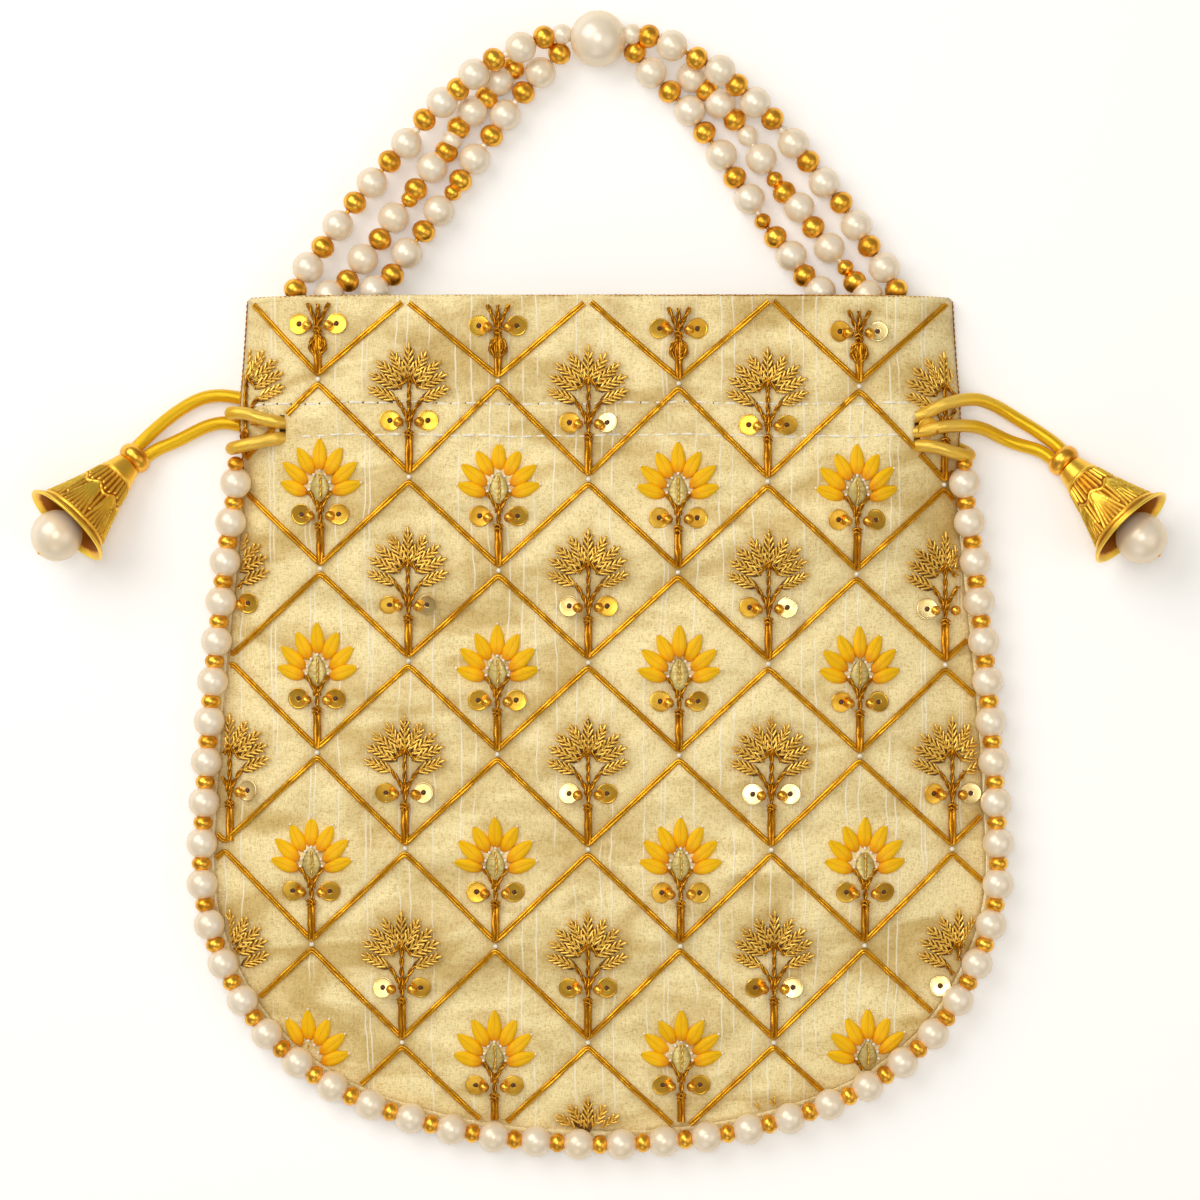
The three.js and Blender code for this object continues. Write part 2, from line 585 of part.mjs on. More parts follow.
const FREE_CORDS = {
  cord_right_upper: [
    [76.8, 41.9, 10.7], [78.6, 41.9, 11.6], [81, 42.9, 13.6], [84.2, 44.6, 13.4], [87.5, 45.9, 12],
    [90.6, 46.4, 10.4], [94, 46.8, 8], [97.5, 45.9, 5.4], [100.5, 44.6, 3.6], [104.5, 42.2, 2.2],
    [109.2, 39.4, 1.8], [112.6, 37.1, 2.1], [114.7, 35.5, 2.7], [116.3, 33.8, 3.3],
  ],
  cord_right_lower: [
    [76.8, 38.3, 10.7], [78.6, 38.3, 11.6], [81, 38.7, 13.5], [84.2, 39.5, 13.4], [87.5, 39.9, 12],
    [90.8, 40, 10.3], [94.5, 39.8, 7.6], [98, 38.6, 4.8], [101.5, 36.9, 2.8], [105, 35.6, 2],
    [108.2, 34.8, 1.8], [110.6, 34.2, 2.1], [112.3, 33.1, 2.7], [113.9, 31.5, 3.3],
  ],
  cord_right_wrap: [
    [76.8, 34.9, 10.4], [78.6, 34.9, 11.3], [81, 34.9, 13.2], [84.2, 34.4, 13], [87.6, 33.4, 11.8],
    [90.6, 32.7, 9.6], [92.4, 32.7, 6.6], [91.7, 33.6, 3.8], [89.6, 34.6, 2.4], [87.6, 35.4, 2.8],
    [86.2, 35.8, 4.6], [85.9, 35.9, 6.6],
  ],
  cord_left_upper: [
    [-85.8, 46.5, 7], [-86.1, 46.5, 5], [-87.2, 46.7, 3], [-89.6, 47.1, 1.8], [-95, 48, 1.6],
    [-98.2, 47.8, 1.6], [-101.4, 46.8, 1.6], [-107.2, 43.2, 1.7], [-111.6, 39.6, 1.9],
    [-115.2, 36.1, 2.6], [-116.9, 34.3, 3.3],
  ],
  cord_left_lower: [
    [-85.8, 39.5, 7.4], [-86.1, 39.5, 5.2], [-87.2, 39.7, 3], [-89.8, 40.2, 1.8], [-94.5, 41.3, 1.6],
    [-99, 40.2, 1.6], [-103, 38.2, 1.6], [-106.8, 36.2, 1.7], [-110.4, 34.8, 2],
    [-112.8, 33.6, 2.6], [-114.4, 32, 3.3],
  ],
  cord_left_upper_wrap: [
    [-76.8, 40.6, 10.7], [-78.6, 40.6, 11.6], [-81, 40.9, 13.5], [-84.2, 41.6, 13.5], [-87.6, 42.8, 12.4],
    [-90.6, 43.2, 10.4], [-92.3, 43.2, 7.6], [-91.4, 43.1, 4.6], [-89.6, 43.1, 3], [-87.6, 43.1, 3.2],
    [-86.2, 43.1, 5], [-85.9, 43.1, 7.2],
  ],
  cord_left_lower_wrap: [
    [-76.8, 36.8, 10.5], [-78.6, 36.8, 11.4], [-81, 36.6, 13.3], [-84.2, 36, 13.2], [-87.6, 35.3, 12],
    [-90.6, 34.6, 9.8], [-92.1, 34.4, 7], [-91.4, 34.8, 4.2], [-89.6, 35.2, 2.8], [-87.6, 35.6, 2.9],
    [-86.2, 35.8, 4.6], [-85.9, 35.9, 6.6],
  ],
};

// Runs inside the channel, front and back, from slit to slit
const RUN_X = [-75.6, -70, -62, -46, 0, 46, 62, 70, 75.6];
const RUN_LEVELS = { upper: [40.6, 42.6, 41.9], lower: [36.8, 38.4, 34.9] };

function drawstrings() {
  Object.entries(FREE_CORDS).forEach(([name, points]) => cordTube(name, points, CORD));
  const inset = PANEL + CLEARANCE + CORD / 2;
  for (const [name, [left, middle, right]] of Object.entries(RUN_LEVELS)) {
    const front = RUN_X.map((x, i) => {
      const y = { 0: left, [RUN_X.length - 1]: right }[i] ?? middle;
      return [x, y, panelTop(x, y) - inset];
    });
    const back = RUN_X.map((x) => [x, middle, backHeight(x, middle) + inset]);
    cordTube(`channel_cord_front_${name}`, front, CORD * 5);
    cordTube(`channel_cord_back_${name}`, back, CORD * 5);
  }
}

// Tassels: collar ring, flared bell, and a pearl on a pin in the mouth of the bell

function turned(profile) {
  return new THREE.LatheGeometry(profile.map(([r, y]) => new THREE.Vector2(r, y)), BELL_SIDES);
}

function tassel(side, [x, y]) {
  const heading = side === 'left' ? Math.PI + TASSEL_SLANT : -TASSEL_SLANT;
  const mouthAt = RING_THICK / 2 + CLEARANCE + BELL_LENGTH;
  const tilt = Math.atan((BELL_MOUTH - RING) / 2 / mouthAt);
  const axis = new THREE.Vector3().setFromSphericalCoords(1, Math.PI / 2 - heading, Math.PI / 2);
  axis.multiplyScalar(Math.cos(tilt)).setZ(Math.sin(tilt));
  const group = new THREE.Group();
  group.position.set(x, y, (RING / 2) * Math.cos(tilt) + BELL_WALL * Math.sin(tilt));
  group.quaternion.setFromUnitVectors(new THREE.Vector3(0, 1, 0), axis);
  bag.add(group);

  const [ring, half] = [RING / 2, RING_THICK / 2];
  const collar = [[0, -half], [ring * 0.7, -half], [ring, 0], [ring * 0.7, half], [0, half]];
  group.add(addMesh(`tassel_ring_${side}`, turned(collar), 'gold'));

  const [neck, mouth] = [BELL_NECK / 2, BELL_MOUTH / 2];
  const flare = (t) => lerp(neck, mouth - BELL_WALL, 0.8 * t + 0.2 * t ** 3);
  const stations = [0.12, 0.45, 0.75, 0.95];
  const outside = stations.map((t) => [flare(t), t * BELL_LENGTH]);
  const inside = stations.map((t) => [flare(t) - BELL_WALL, t * BELL_LENGTH]).toReversed();
  const bell = turned([
    [0, 0], [neck, 0], ...outside, [mouth, BELL_LENGTH - BELL_WALL], [mouth, BELL_LENGTH],
    [mouth - BELL_WALL, BELL_LENGTH], ...inside, [0, stations[0] * BELL_LENGTH],
  ]);
  group.add(addMesh(`tassel_bell_${side}`, bell.translate(0, half + CLEARANCE, 0), 'bell'));

  const pearlAt = mouthAt + TASSEL_PEARL_OUT;
  const pearl = new THREE.SphereGeometry(TASSEL_PEARL / 2, 12, 8).translate(0, pearlAt, 0);
  group.add(addMesh(`tassel_pearl_${side}`, pearl, 'pearl'));

  const pinFrom = half + CLEARANCE + stations[0] * BELL_LENGTH + CLEARANCE;
  const pinTo = pearlAt - TASSEL_PEARL / 2 - CLEARANCE;
  const pin = new THREE.CylinderGeometry(PIN / 2, PIN / 2, pinTo - pinFrom, 8);
  group.add(addMesh(`tassel_pin_${side}`, pin.translate(0, (pinFrom + pinTo) / 2, 0), 'gold'));
}

frontPanel();
backPanel();
lining();
edgeStrand();
handleStrands();
gripPearl();
embroidery();
drawstrings();
tassel('left', LEFT_RING);
tassel('right', RIGHT_RING);

export default bag;
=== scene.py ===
"""Potli bag: slubbed silk, gold thread work, pearl edging, beaded handle and bell tassels."""

import math

import bpy
import numpy as np
from mathutils import Matrix, Vector
from mathutils.kdtree import KDTree


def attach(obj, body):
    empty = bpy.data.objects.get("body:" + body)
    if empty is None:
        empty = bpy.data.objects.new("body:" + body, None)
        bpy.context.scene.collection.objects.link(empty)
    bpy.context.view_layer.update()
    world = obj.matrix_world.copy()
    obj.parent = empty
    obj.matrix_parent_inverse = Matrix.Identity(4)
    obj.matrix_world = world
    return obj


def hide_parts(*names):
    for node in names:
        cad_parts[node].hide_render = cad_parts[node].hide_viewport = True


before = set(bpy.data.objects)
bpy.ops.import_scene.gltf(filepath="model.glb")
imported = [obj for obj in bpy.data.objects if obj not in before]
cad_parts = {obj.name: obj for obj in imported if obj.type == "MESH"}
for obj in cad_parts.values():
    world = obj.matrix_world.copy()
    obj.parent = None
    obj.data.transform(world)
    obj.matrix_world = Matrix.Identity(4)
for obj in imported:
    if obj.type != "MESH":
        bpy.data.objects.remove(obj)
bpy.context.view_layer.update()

bl_info = {
    "name": "Potli Bag",
    "version": (1, 0, 0),
    "blender": (4, 5, 0),
    "location": "View3D > Sidebar > Potli Bag",
    "description": "Builds an embroidered silk drawstring pouch around its packed frame",
    "category": "Object",
}

MM = 0.001
FULL_TURN = 2 * math.pi
BAG, HANDLE = "bag", "handle"
SIDES = ("left", "right")


def srgb(red, green, blue):
    """A colour as it is seen, from 0 to 255, as the linear values that a shader takes."""
    parts = [value / 255 for value in (red, green, blue)]
    return tuple(p / 12.92 if p <= 0.04045 else ((p + 0.055) / 1.055) ** 2.4 for p in parts)


# What the operators make for one another

TREES = {}
FINISHES = {}
PLANS = {}


# Form of the bag, in millimetres and in the frame's own axes

SEAM_POINTS = [
    (88.4, 72), (89.8, 44), (89.4, 27), (91.1, 6), (94.2, -23.8), (96.4, -55), (96.7, -76),
    (92.5, -92), (82, -109.6), (65.8, -122.8), (46.8, -130.6), (26.3, -135.2), (0, -137.4),
]
MOUTH_Y = 72.0
BOTTOM_HALF_WIDTH = 12.0
PANEL = 0.8
LINING = 0.5
LINING_GAP = 0.7
CLEARANCE = 0.3
BODY_CROWN = 15.0           # height of the front over the seam at the belly
MOUTH_CROWN = 12.4          # the same at the mouth
CROWN_FADE = 0.62           # share of the height where the belly starts to fall to the mouth
CROWN_ROUND = 2.6           # how fast the crown rises from the bottom seam
BELLY_FULLNESS, CHANNEL_FULLNESS = 2.4, 8.0         # how square the section is, low down and at the channel
FULLNESS_FROM, FULLNESS_TO = -10, 33
CHANNEL_Y = 41.0
CHANNEL_LOW, CHANNEL_HIGH, CHANNEL_FADE = 33.4, 46.4, 4.5
CORD = 3.0
CORD_ROOM = CORD + 0.8
VISIBLE_CORD = 3.3          # with its soft outer wraps
EDGE_LIFT, EDGE_LIFT_REACH = 7.0, 10.5
LINING_INSET, CHANNEL_INSET = 4.0, 18.0
HEADER_LINE = 45.4          # stitches under the header
CHANNEL_STITCH = 37.4       # fainter stitches across the channel
SLIT_X = 79.6
SLITS = {"left": (38.7, 4.2), "right": (38.4, 5.6)}              # middle and half length
BACK_SLIT_X = 86.0
BACK_SLITS = {"left": (41.3, 7.6), "right": (41.3, 7.6)}
LATTICE_X, LATTICE_WIDTH = -2.95, 45.5
LATTICE_TOP, LATTICE_STEP, LATTICE_PART = 51.5, 23.4, 2.2
LATTICE_ROWS = 10
MOUTH_MARGIN = 0.9          # from the mouth's edge to the tips of the first lattice row


def smooth_line(points, per=24):
    """A smooth line through the points, with the same rule as the solids' curves."""
    points = np.asarray(points, float)
    ends = np.vstack([2 * points[0] - points[1], points, 2 * points[-1] - points[-2]])
    pieces = []
    t = np.linspace(0, 1, per, endpoint=False)[:, None]
    for i in range(len(points) - 1):
        p0, p1, p2, p3 = ends[i:i + 4]
        d0, d1, d2 = (np.linalg.norm(b - a) ** 0.5 for a, b in ((p0, p1), (p1, p2), (p2, p3)))
        leave = ((p1 - p0) / d0 - (p2 - p0) / (d0 + d1) + (p2 - p1) / d1) * d1
        arrive = ((p2 - p1) / d1 - (p3 - p1) / (d1 + d2) + (p3 - p2) / d2) * d1
        pieces.append((2 * t**3 - 3 * t**2 + 1) * p1 + (t**3 - 2 * t**2 + t) * leave
                      + (3 * t**2 - 2 * t**3) * p2 + (t**3 - t**2) * arrive)
    pieces.append(points[-1:])
    return np.vstack(pieces)


def line_length(line):
    return np.r_[0, np.cumsum(np.linalg.norm(np.diff(line, axis=0), axis=1))]


def spaced(line, step=None, count=None):
    """The line again, with its points evenly spaced."""
    along = line_length(line)
    count = count or max(int(round(along[-1] / step)) + 1, 2)
    at = np.linspace(0, along[-1], count)
    return np.column_stack([np.interp(at, along, line[:, k]) for k in range(line.shape[1])])


SEAM_LINE = spaced(smooth_line(SEAM_POINTS), count=401)
BOTTOM_Y = float(SEAM_LINE[np.argmax(SEAM_LINE[:, 0] <= BOTTOM_HALF_WIDTH), 1])


def half_width(y):
    width = np.interp(y, SEAM_LINE[::-1, 1], SEAM_LINE[::-1, 0])
    return np.maximum(width, BOTTOM_HALF_WIDTH)


def smoothstep(value, low, high):
    t = np.clip((np.asarray(value, float) - low) / (high - low), 0, 1)
    return t * t * (3 - 2 * t)


def bump(value, middle, reach):
    return np.exp(-(((np.asarray(value, float) - middle) / reach) ** 2))


def edge_lift(y):
    return EDGE_LIFT * bump(y, CHANNEL_Y, EDGE_LIFT_REACH)


def seam_top(y):
    return 2 * PANEL + CLEARANCE + edge_lift(y)


def share(x, y):
    """Way from the middle of the bag, 0, to its seam, 1."""
    return np.minimum(np.abs(x) / half_width(y), 1)


def front_height(x, y):
    """Upper side of the front panel of the solids."""
    along = np.clip((y - BOTTOM_Y) / (MOUTH_Y - BOTTOM_Y), 0, 1)
    crown = BODY_CROWN + (MOUTH_CROWN - BODY_CROWN) * smoothstep(along, CROWN_FADE, 1)
    top = 2 * PANEL + CLEARANCE + crown * (1 - (1 - along) ** CROWN_ROUND)
    squarer = smoothstep(y, FULLNESS_FROM, FULLNESS_TO)
    fullness = BELLY_FULLNESS + (CHANNEL_FULLNESS - BELLY_FULLNESS) * squarer
    return top + (seam_top(y) - top) * share(x, y) ** fullness


def back_height(x, y):
    return edge_lift(y) * share(x, y) ** 6


RIPPLES = np.random.default_rng(7)
LONGEST_RIPPLE = 46
# Heading across and up, phase and length of each wave of creases
RIPPLE_WAVES = [
    (RIPPLES.normal(0, 0.55), RIPPLES.choice([-1, 1]) * RIPPLES.uniform(0.75, 1.2),
     RIPPLES.uniform(0, 6.28), length)
    for length in (LONGEST_RIPPLE, 37, 31, 26, 23, 20, 17.5, 15.5, 13.5, 12, 10.5, 9.5, 8.5, 7.5)
]


def ripples(x, y):
    """Soft creases of the cloth, mostly lying across the bag."""
    height = 0
    for across, up, phase, length in RIPPLE_WAVES:
        swing = 1.1 * np.sin(0.021 * x + 0.017 * y + phase * 3)
        size = (length / LONGEST_RIPPLE) ** 0.6
        height = height + size * np.sin((across * x + up * y) * FULL_TURN / length + phase + swing)
    return height


def by_hand(x, y):
    """How far the hand-drawn lattice strays from an even one at a place on the front."""
    u, v = x / 100, (y + 30) / 100
    across = u * (-1.25 - 3.87 * v + 2.56 * v**2 + 2.37 * v**3)
    return across, -0.07 - 1.89 * v - 5.06 * v**2 + 3.81 * v**3 + 4.32 * v**4 - u * (0.69 + 0.86 * v)


def lattice_distance(x, y):
    """Distance from a point to the nearest line of the lattice, near enough for the cloth's pull."""
    across, up = by_hand(x, y)
    x, y = x - across, y - up
    p, q = (x - LATTICE_X) / LATTICE_WIDTH, (y - LATTICE_TOP) / (2 * LATTICE_STEP)
    spread = 2 * LATTICE_WIDTH * LATTICE_STEP / math.hypot(LATTICE_WIDTH, 2 * LATTICE_STEP)
    return spread * np.minimum(np.abs((p + q) % 1 - 0.5), np.abs((p - q) % 1 - 0.5))


def cloth_top(x, y):
    """Upper side of the visible front cloth: the panel with its creases, channel and header."""
    x, y = np.asarray(x, float), np.asarray(y, float)
    calm = 1 - share(x, y) ** 6
    creases = (0.3 * ripples(x, y) + 0.6) * calm
    drawn_in = -0.4 * bump(lattice_distance(x, y), 0, 2.4)
    near_channel = bump(y, CHANNEL_Y, 9)
    pleats = np.sin(x * 0.62 + 1.4 * np.sin(x * 0.11))
    gathers = 0.22 * near_channel * pleats * smoothstep(share(x, y), 0.55, 0.9)
    header = 0.3 * smoothstep(y, HEADER_LINE - 0.4, HEADER_LINE + 0.9)
    groove = -0.42 * bump(y, HEADER_LINE, 0.8) - 0.22 * bump(y, CHANNEL_STITCH, 0.8)
    return front_height(x, y) + creases + (gathers + header + groove + drawn_in) * calm


def on_cloth(points, lift):
    """Flat points laid on the front cloth."""
    points = np.asarray(points, float)
    return np.column_stack([points, cloth_top(points[:, 0], points[:, 1]) + lift])


def cloth_normal(x, y):
    step = 0.6
    slope_x = (cloth_top(x + step, y) - cloth_top(x - step, y)) / (2 * step)
    slope_y = (cloth_top(x, y + step) - cloth_top(x, y - step)) / (2 * step)
    return Vector((-slope_x, -slope_y, 1)).normalized()


def on_front(x, y, margin=0.8):
    """True where a point lies on the front panel, a margin inside its seam."""
    below = half_width(np.minimum(y - margin, MOUTH_Y))
    inside = np.abs(x) < np.minimum(half_width(y), below) - margin
    return inside & (y - margin > BOTTOM_Y) & (y < MOUTH_Y - margin * 0.4)


# Meshes

def new_piece(name, mesh):
    piece = bpy.data.objects.new(name, mesh)
    bpy.context.scene.collection.objects.link(piece)
    return piece


def mesh_from(name, points, faces, finish=None, uv=None):
    """A smooth mesh from points in millimetres; uv has one pair for each point."""
    mesh = bpy.data.meshes.new(name)
    mesh.from_pydata((np.asarray(points, float) * MM).tolist(), [], [tuple(map(int, f)) for f in faces])
    mesh.update()
    mesh.polygons.foreach_set("use_smooth", [True] * len(mesh.polygons))
    if uv is not None:
        corners = np.zeros(len(mesh.loops), int)
        mesh.loops.foreach_get("vertex_index", corners)
        layer = mesh.uv_layers.new(name="UVMap")
        layer.data.foreach_set("uv", np.asarray(uv, float)[corners].ravel())
    if finish:
        mesh.materials.append(FINISHES[finish])
    return mesh


def made(name, points, faces, finish, uv=None):
    """A new piece from points in millimetres."""
    return new_piece(name, mesh_from(name, points, faces, finish, uv))


def evaluated_mesh(piece):
    """The piece's mesh with its modifiers worked in."""
    graph = bpy.context.evaluated_depsgraph_get()
    return bpy.data.meshes.new_from_object(piece.evaluated_get(graph), depsgraph=graph)


def set_values(piece, name, values):
    """One number for each point of the piece, for its finish to read."""
    data = piece.data.attributes.new(name, "FLOAT", "POINT").data
    data.foreach_set("value", np.asarray(values, float))


def for_nodes(piece, *nodes):
    """The piece rides on the bag and takes the place of nodes of the frame."""
    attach(piece, BAG)
    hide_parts(*nodes)
    return piece


def with_slot(piece):
    """The piece rides on the bag and is in the scene alone, taking the place of no node of the frame."""
    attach(piece, BAG)
    return piece


def dress(node, finish):
    """Gives a finish of the scene to a node that stays as it is."""
    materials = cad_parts[node].data.materials
    materials.clear()
    materials.append(FINISHES[finish])


def grid_faces(rows, columns, wrap=False):
    width = columns if wrap else columns - 1
    faces = []
    for r in range(rows - 1):
        for c in range(width):
            d = (c + 1) % columns
            faces.append((r * columns + c, r * columns + d, (r + 1) * columns + d, (r + 1) * columns + c))
    return faces


def tube(line, radius, sides):
    """Points, faces and uv of a closed round tube; u is the way along in millimetres, v the way round."""
    line = np.asarray(line, float)
    tangents = np.gradient(line, axis=0)
    tangents /= np.linalg.norm(tangents, axis=1)[:, None]
    side = np.cross(tangents[0], (0, 0, 1))
    if np.linalg.norm(side) < 1e-6:
        side = np.array((1.0, 0, 0))
    rings, uv = [], []
    along = line_length(line)
    angles = np.linspace(0, FULL_TURN, sides, endpoint=False)
    for point, tangent, at in zip(line, tangents, along):
        side = side - tangent * side.dot(tangent)
        side /= np.linalg.norm(side)
        up = np.cross(side, tangent)
        rings.append(point + radius * (np.cos(angles)[:, None] * side + np.sin(angles)[:, None] * up))
        uv.extend((at, angle / FULL_TURN) for angle in angles)
    return np.vstack(rings), capped_faces(len(line), sides), uv


def capped_faces(rows, sides):
    """Faces of a closed run of rings, looking outwards."""
    last = (rows - 1) * sides
    faces = [face[::-1] for face in grid_faces(rows, sides, wrap=True)]
    return faces + [tuple(range(sides)), tuple(range(last + sides - 1, last - 1, -1))]


def joined_tubes(lines, radius, sides):
    """Points and faces of a tube along each line."""
    points, faces = [], []
    for line in lines:
        part, part_faces, _ = tube(line, radius, sides)
        faces += [tuple(i + len(points) for i in face) for face in part_faces]
        points += part.tolist()
    return points, faces


def turned(profile, sides, closed=False):
    """Points and faces of a profile of (radius, height) turned about Z; a radius of 0 is one point."""
    points, rows = [], []
    for radius, height in profile:
        if radius < 1e-6:
            rows.append([len(points)])
            points.append((0, 0, height))
        else:
            rows.append(list(range(len(points), len(points) + sides)))
            for k in range(sides):
                angle = FULL_TURN * k / sides
                points.append((radius * math.cos(angle), radius * math.sin(angle), height))
    faces = []
    for low, high in zip(rows, rows[1:] + rows[:1] if closed else rows[1:]):
        for k in range(sides):
            after = k + 1
            corners = [low[k % len(low)], low[after % len(low)], high[after % len(high)], high[k % len(high)]]
            face = list(dict.fromkeys(corners))
            if len(face) > 2:
                faces.append(face)
    return points, faces


def arc(radius_out, radius_up, rows, start=-90, end=90, wide=0.0, middle=0.0):
    """Part of an oval profile for turned shapes, by angle from its lower end to its upper."""
    angles = np.radians(np.linspace(start, end, rows))
    return [(max(wide + radius_out * math.cos(a), 0), middle + radius_up * math.sin(a)) for a in angles]


def turn_to(axis):
    """Rotation that takes Z to an axis."""
    z = Vector(axis).normalized()
    x = Vector((0, 0, 1)).cross(z)
    if x.length < 1e-6:
        x = Vector((1, 0, 0))
    x.normalize()
    return Matrix((x, z.cross(x), z)).transposed()


def turn_on_cloth(x, y, angle):
    """Euler turn of a piece that lies on the cloth with its X axis at an angle in the plane."""
    z = cloth_normal(x, y)
    flat = Vector((math.cos(angle), math.sin(angle), 0))
    x_axis = (flat - z * flat.dot(z)).normalized()
    return Matrix((x_axis, z.cross(x_axis), z)).transposed().to_euler()


# Nodes

def feed(socket, value):
    """Links an output to the socket, or sets the socket's own value."""
    if isinstance(value, bpy.types.NodeSocket):
        socket.id_data.links.new(value, socket)
    else:
        socket.default_value = value


def adder(tree):
    """A function that adds a node to the tree, with its settings and its inputs by name."""
    def add(kind, settings=None, **inputs):
        node = tree.nodes.new(kind)
        for key, value in (settings or {}).items():
            setattr(node, key, value)
        for key, value in inputs.items():
            feed(node.inputs[key.replace("_", " ")], value)
        return node

    return add


def math_node(add, operation, *values):
    node = add("ShaderNodeMath", {"operation": operation})
    for socket, value in zip(node.inputs, values):
        feed(socket, value)
    return node.outputs[0]


# Geometry Nodes

COUCHED_SWING = 0.55        # how far the plies of a couched cord swing to and fro, in radians
PLY_OFFSET = 0.8            # middle of a ply from the middle of its cord, in radii of a ply


def start_tree(name, inputs):
    tree = bpy.data.node_groups.new(name, "GeometryNodeTree")
    tree.interface.new_socket("Geometry", in_out="INPUT", socket_type="NodeSocketGeometry")
    for label, kind in inputs:
        tree.interface.new_socket(label, in_out="INPUT", socket_type=kind)
    tree.interface.new_socket("Finish", in_out="INPUT", socket_type="NodeSocketMaterial")
    tree.interface.new_socket("Geometry", in_out="OUTPUT", socket_type="NodeSocketGeometry")
    return tree, tree.nodes.new("NodeGroupInput"), adder(tree)


def finish_tree(tree, given, add, shape):
    whole = add("GeometryNodeRealizeInstances", Geometry=shape)
    smooth = add("GeometryNodeSetShadeSmooth", Geometry=whole.outputs[0])
    finished = add("GeometryNodeSetMaterial", Geometry=smooth.outputs[0], Material=given.outputs["Finish"])
    feed(tree.nodes.new("NodeGroupOutput").inputs[0], finished.outputs[0])
    return tree


def placed_pieces_tree():
    """One small piece at each point, turned and sized by the points' own attributes."""
    tree, given, add = start_tree("Placed pieces", [("Piece", "NodeSocketObject")])
    piece = add("GeometryNodeObjectInfo", Object=given.outputs["Piece"])
    turn = add("GeometryNodeInputNamedAttribute", {"data_type": "FLOAT_VECTOR"}, Name="turn")
    size = add("GeometryNodeInputNamedAttribute", {"data_type": "FLOAT_VECTOR"}, Name="size")
    euler = add("FunctionNodeEulerToRotation", Euler=turn.outputs[0])
    placed = add("GeometryNodeInstanceOnPoints", Points=given.outputs["Geometry"],
                 Instance=piece.outputs["Geometry"], Rotation=euler.outputs[0], Scale=size.outputs[0])
    return finish_tree(tree, given, add, placed.outputs[0])


def two_ply_tree(name, swinging):
    """Two plies along every line of the source, twisted round each other or only swinging to and fro."""
    tree, given, add = start_tree(name, [
        ("Ply", "NodeSocketFloat"), ("Pitch", "NodeSocketFloat"), ("Round", "NodeSocketInt")])
    line = add("GeometryNodeMeshToCurve", Mesh=given.outputs["Geometry"])
    upright = add("GeometryNodeSetCurveNormal", {"mode": "Z_UP"}, Curve=line.outputs[0])
    along = add("GeometryNodeSplineParameter").outputs["Length"]
    angle = math_node(add, "MULTIPLY", math_node(add, "DIVIDE", along, given.outputs["Pitch"]), FULL_TURN)
    if swinging:
        angle = math_node(add, "MULTIPLY", math_node(add, "SINE", angle), COUCHED_SWING)
    tilted = add("GeometryNodeSetCurveTilt", Curve=upright.outputs[0], Tilt=angle)
    circle = add("GeometryNodeCurvePrimitiveCircle",
                 Resolution=given.outputs["Round"], Radius=given.outputs["Ply"])
    plies = add("GeometryNodeJoinGeometry")
    for side in (-PLY_OFFSET, PLY_OFFSET):
        offset = add("ShaderNodeVectorMath", {"operation": "SCALE"}, Scale=given.outputs["Ply"])
        feed(offset.inputs[0], (side, 0, 0))
        ply = add("GeometryNodeTransform", Geometry=circle.outputs[0], Translation=offset.outputs[0])
        feed(plies.inputs[0], ply.outputs[0])
    swept = add("GeometryNodeCurveToMesh",
                Curve=tilted.outputs[0], Profile_Curve=plies.outputs[0], Fill_Caps=True)
    return finish_tree(tree, given, add, swept.outputs[0])


def running_stitch_tree():
    """Stitches laid end to end along the source's lines, with a gap between them."""
    tree, given, add = start_tree("Running stitch", [
        ("Piece", "NodeSocketObject"), ("Step", "NodeSocketFloat")])
    piece = add("GeometryNodeObjectInfo", Object=given.outputs["Piece"])
    line = add("GeometryNodeMeshToCurve", Mesh=given.outputs["Geometry"])
    stepped = add("GeometryNodeResampleCurve", {"mode": "LENGTH"},
                  Curve=line.outputs[0], Length=given.outputs["Step"])
    heading = add("GeometryNodeInputTangent")
    turn = add("FunctionNodeAlignRotationToVector", {"axis": "X"}, Vector=heading.outputs[0])
    size = add("FunctionNodeRandomValue", {"data_type": "FLOAT"}, Seed=3)
    feed(size.inputs[2], 0.85)
    feed(size.inputs[3], 1.1)
    placed = add("GeometryNodeInstanceOnPoints", Points=stepped.outputs[0],
                 Instance=piece.outputs["Geometry"], Rotation=turn.outputs[0], Scale=size.outputs[1])
    return finish_tree(tree, given, add, placed.outputs[0])


def grow(name, tree, source, values):
    """Runs a tree on a source mesh and keeps the result as a plain piece."""
    worker = new_piece(name + "_source", source)
    modifier = worker.modifiers.new("Rule", "NODES")
    modifier.node_group = tree
    for item in tree.interface.items_tree:
        if item.item_type == "SOCKET" and item.in_out == "INPUT" and item.name in values:
            modifier[item.identifier] = values[item.name]
    mesh = evaluated_mesh(worker)
    mesh.name = name
    bpy.data.objects.remove(worker)
    return new_piece(name, mesh)


def place(name, template, spots, finish):
    """Pieces of one template at spots of (point, turn, size), all in millimetres."""
    mesh = bpy.data.meshes.new(name + "_spots")
    mesh.from_pydata([tuple(MM * c for c in spot[0]) for spot in spots], [], [])
    for label, index in (("turn", 1), ("size", 2)):
        data = mesh.attributes.new(label, "FLOAT_VECTOR", "POINT").data
        data.foreach_set("vector", np.array([tuple(spot[index]) for spot in spots], float).ravel())
    pattern = new_piece(name + "_pattern", template)
    piece = grow(name, TREES["placed"], mesh, {"Piece": pattern, "Finish": FINISHES[finish]})
    bpy.data.objects.remove(pattern)
    return piece


def lines_mesh(name, lines):
    points, edges = [], []
    for line in lines:
        edges += [(len(points) + i, len(points) + i + 1) for i in range(len(line) - 1)]
        points += (np.asarray(line) * MM).tolist()
    mesh = bpy.data.meshes.new(name)
    mesh.from_pydata(points, edges, [])
    return mesh


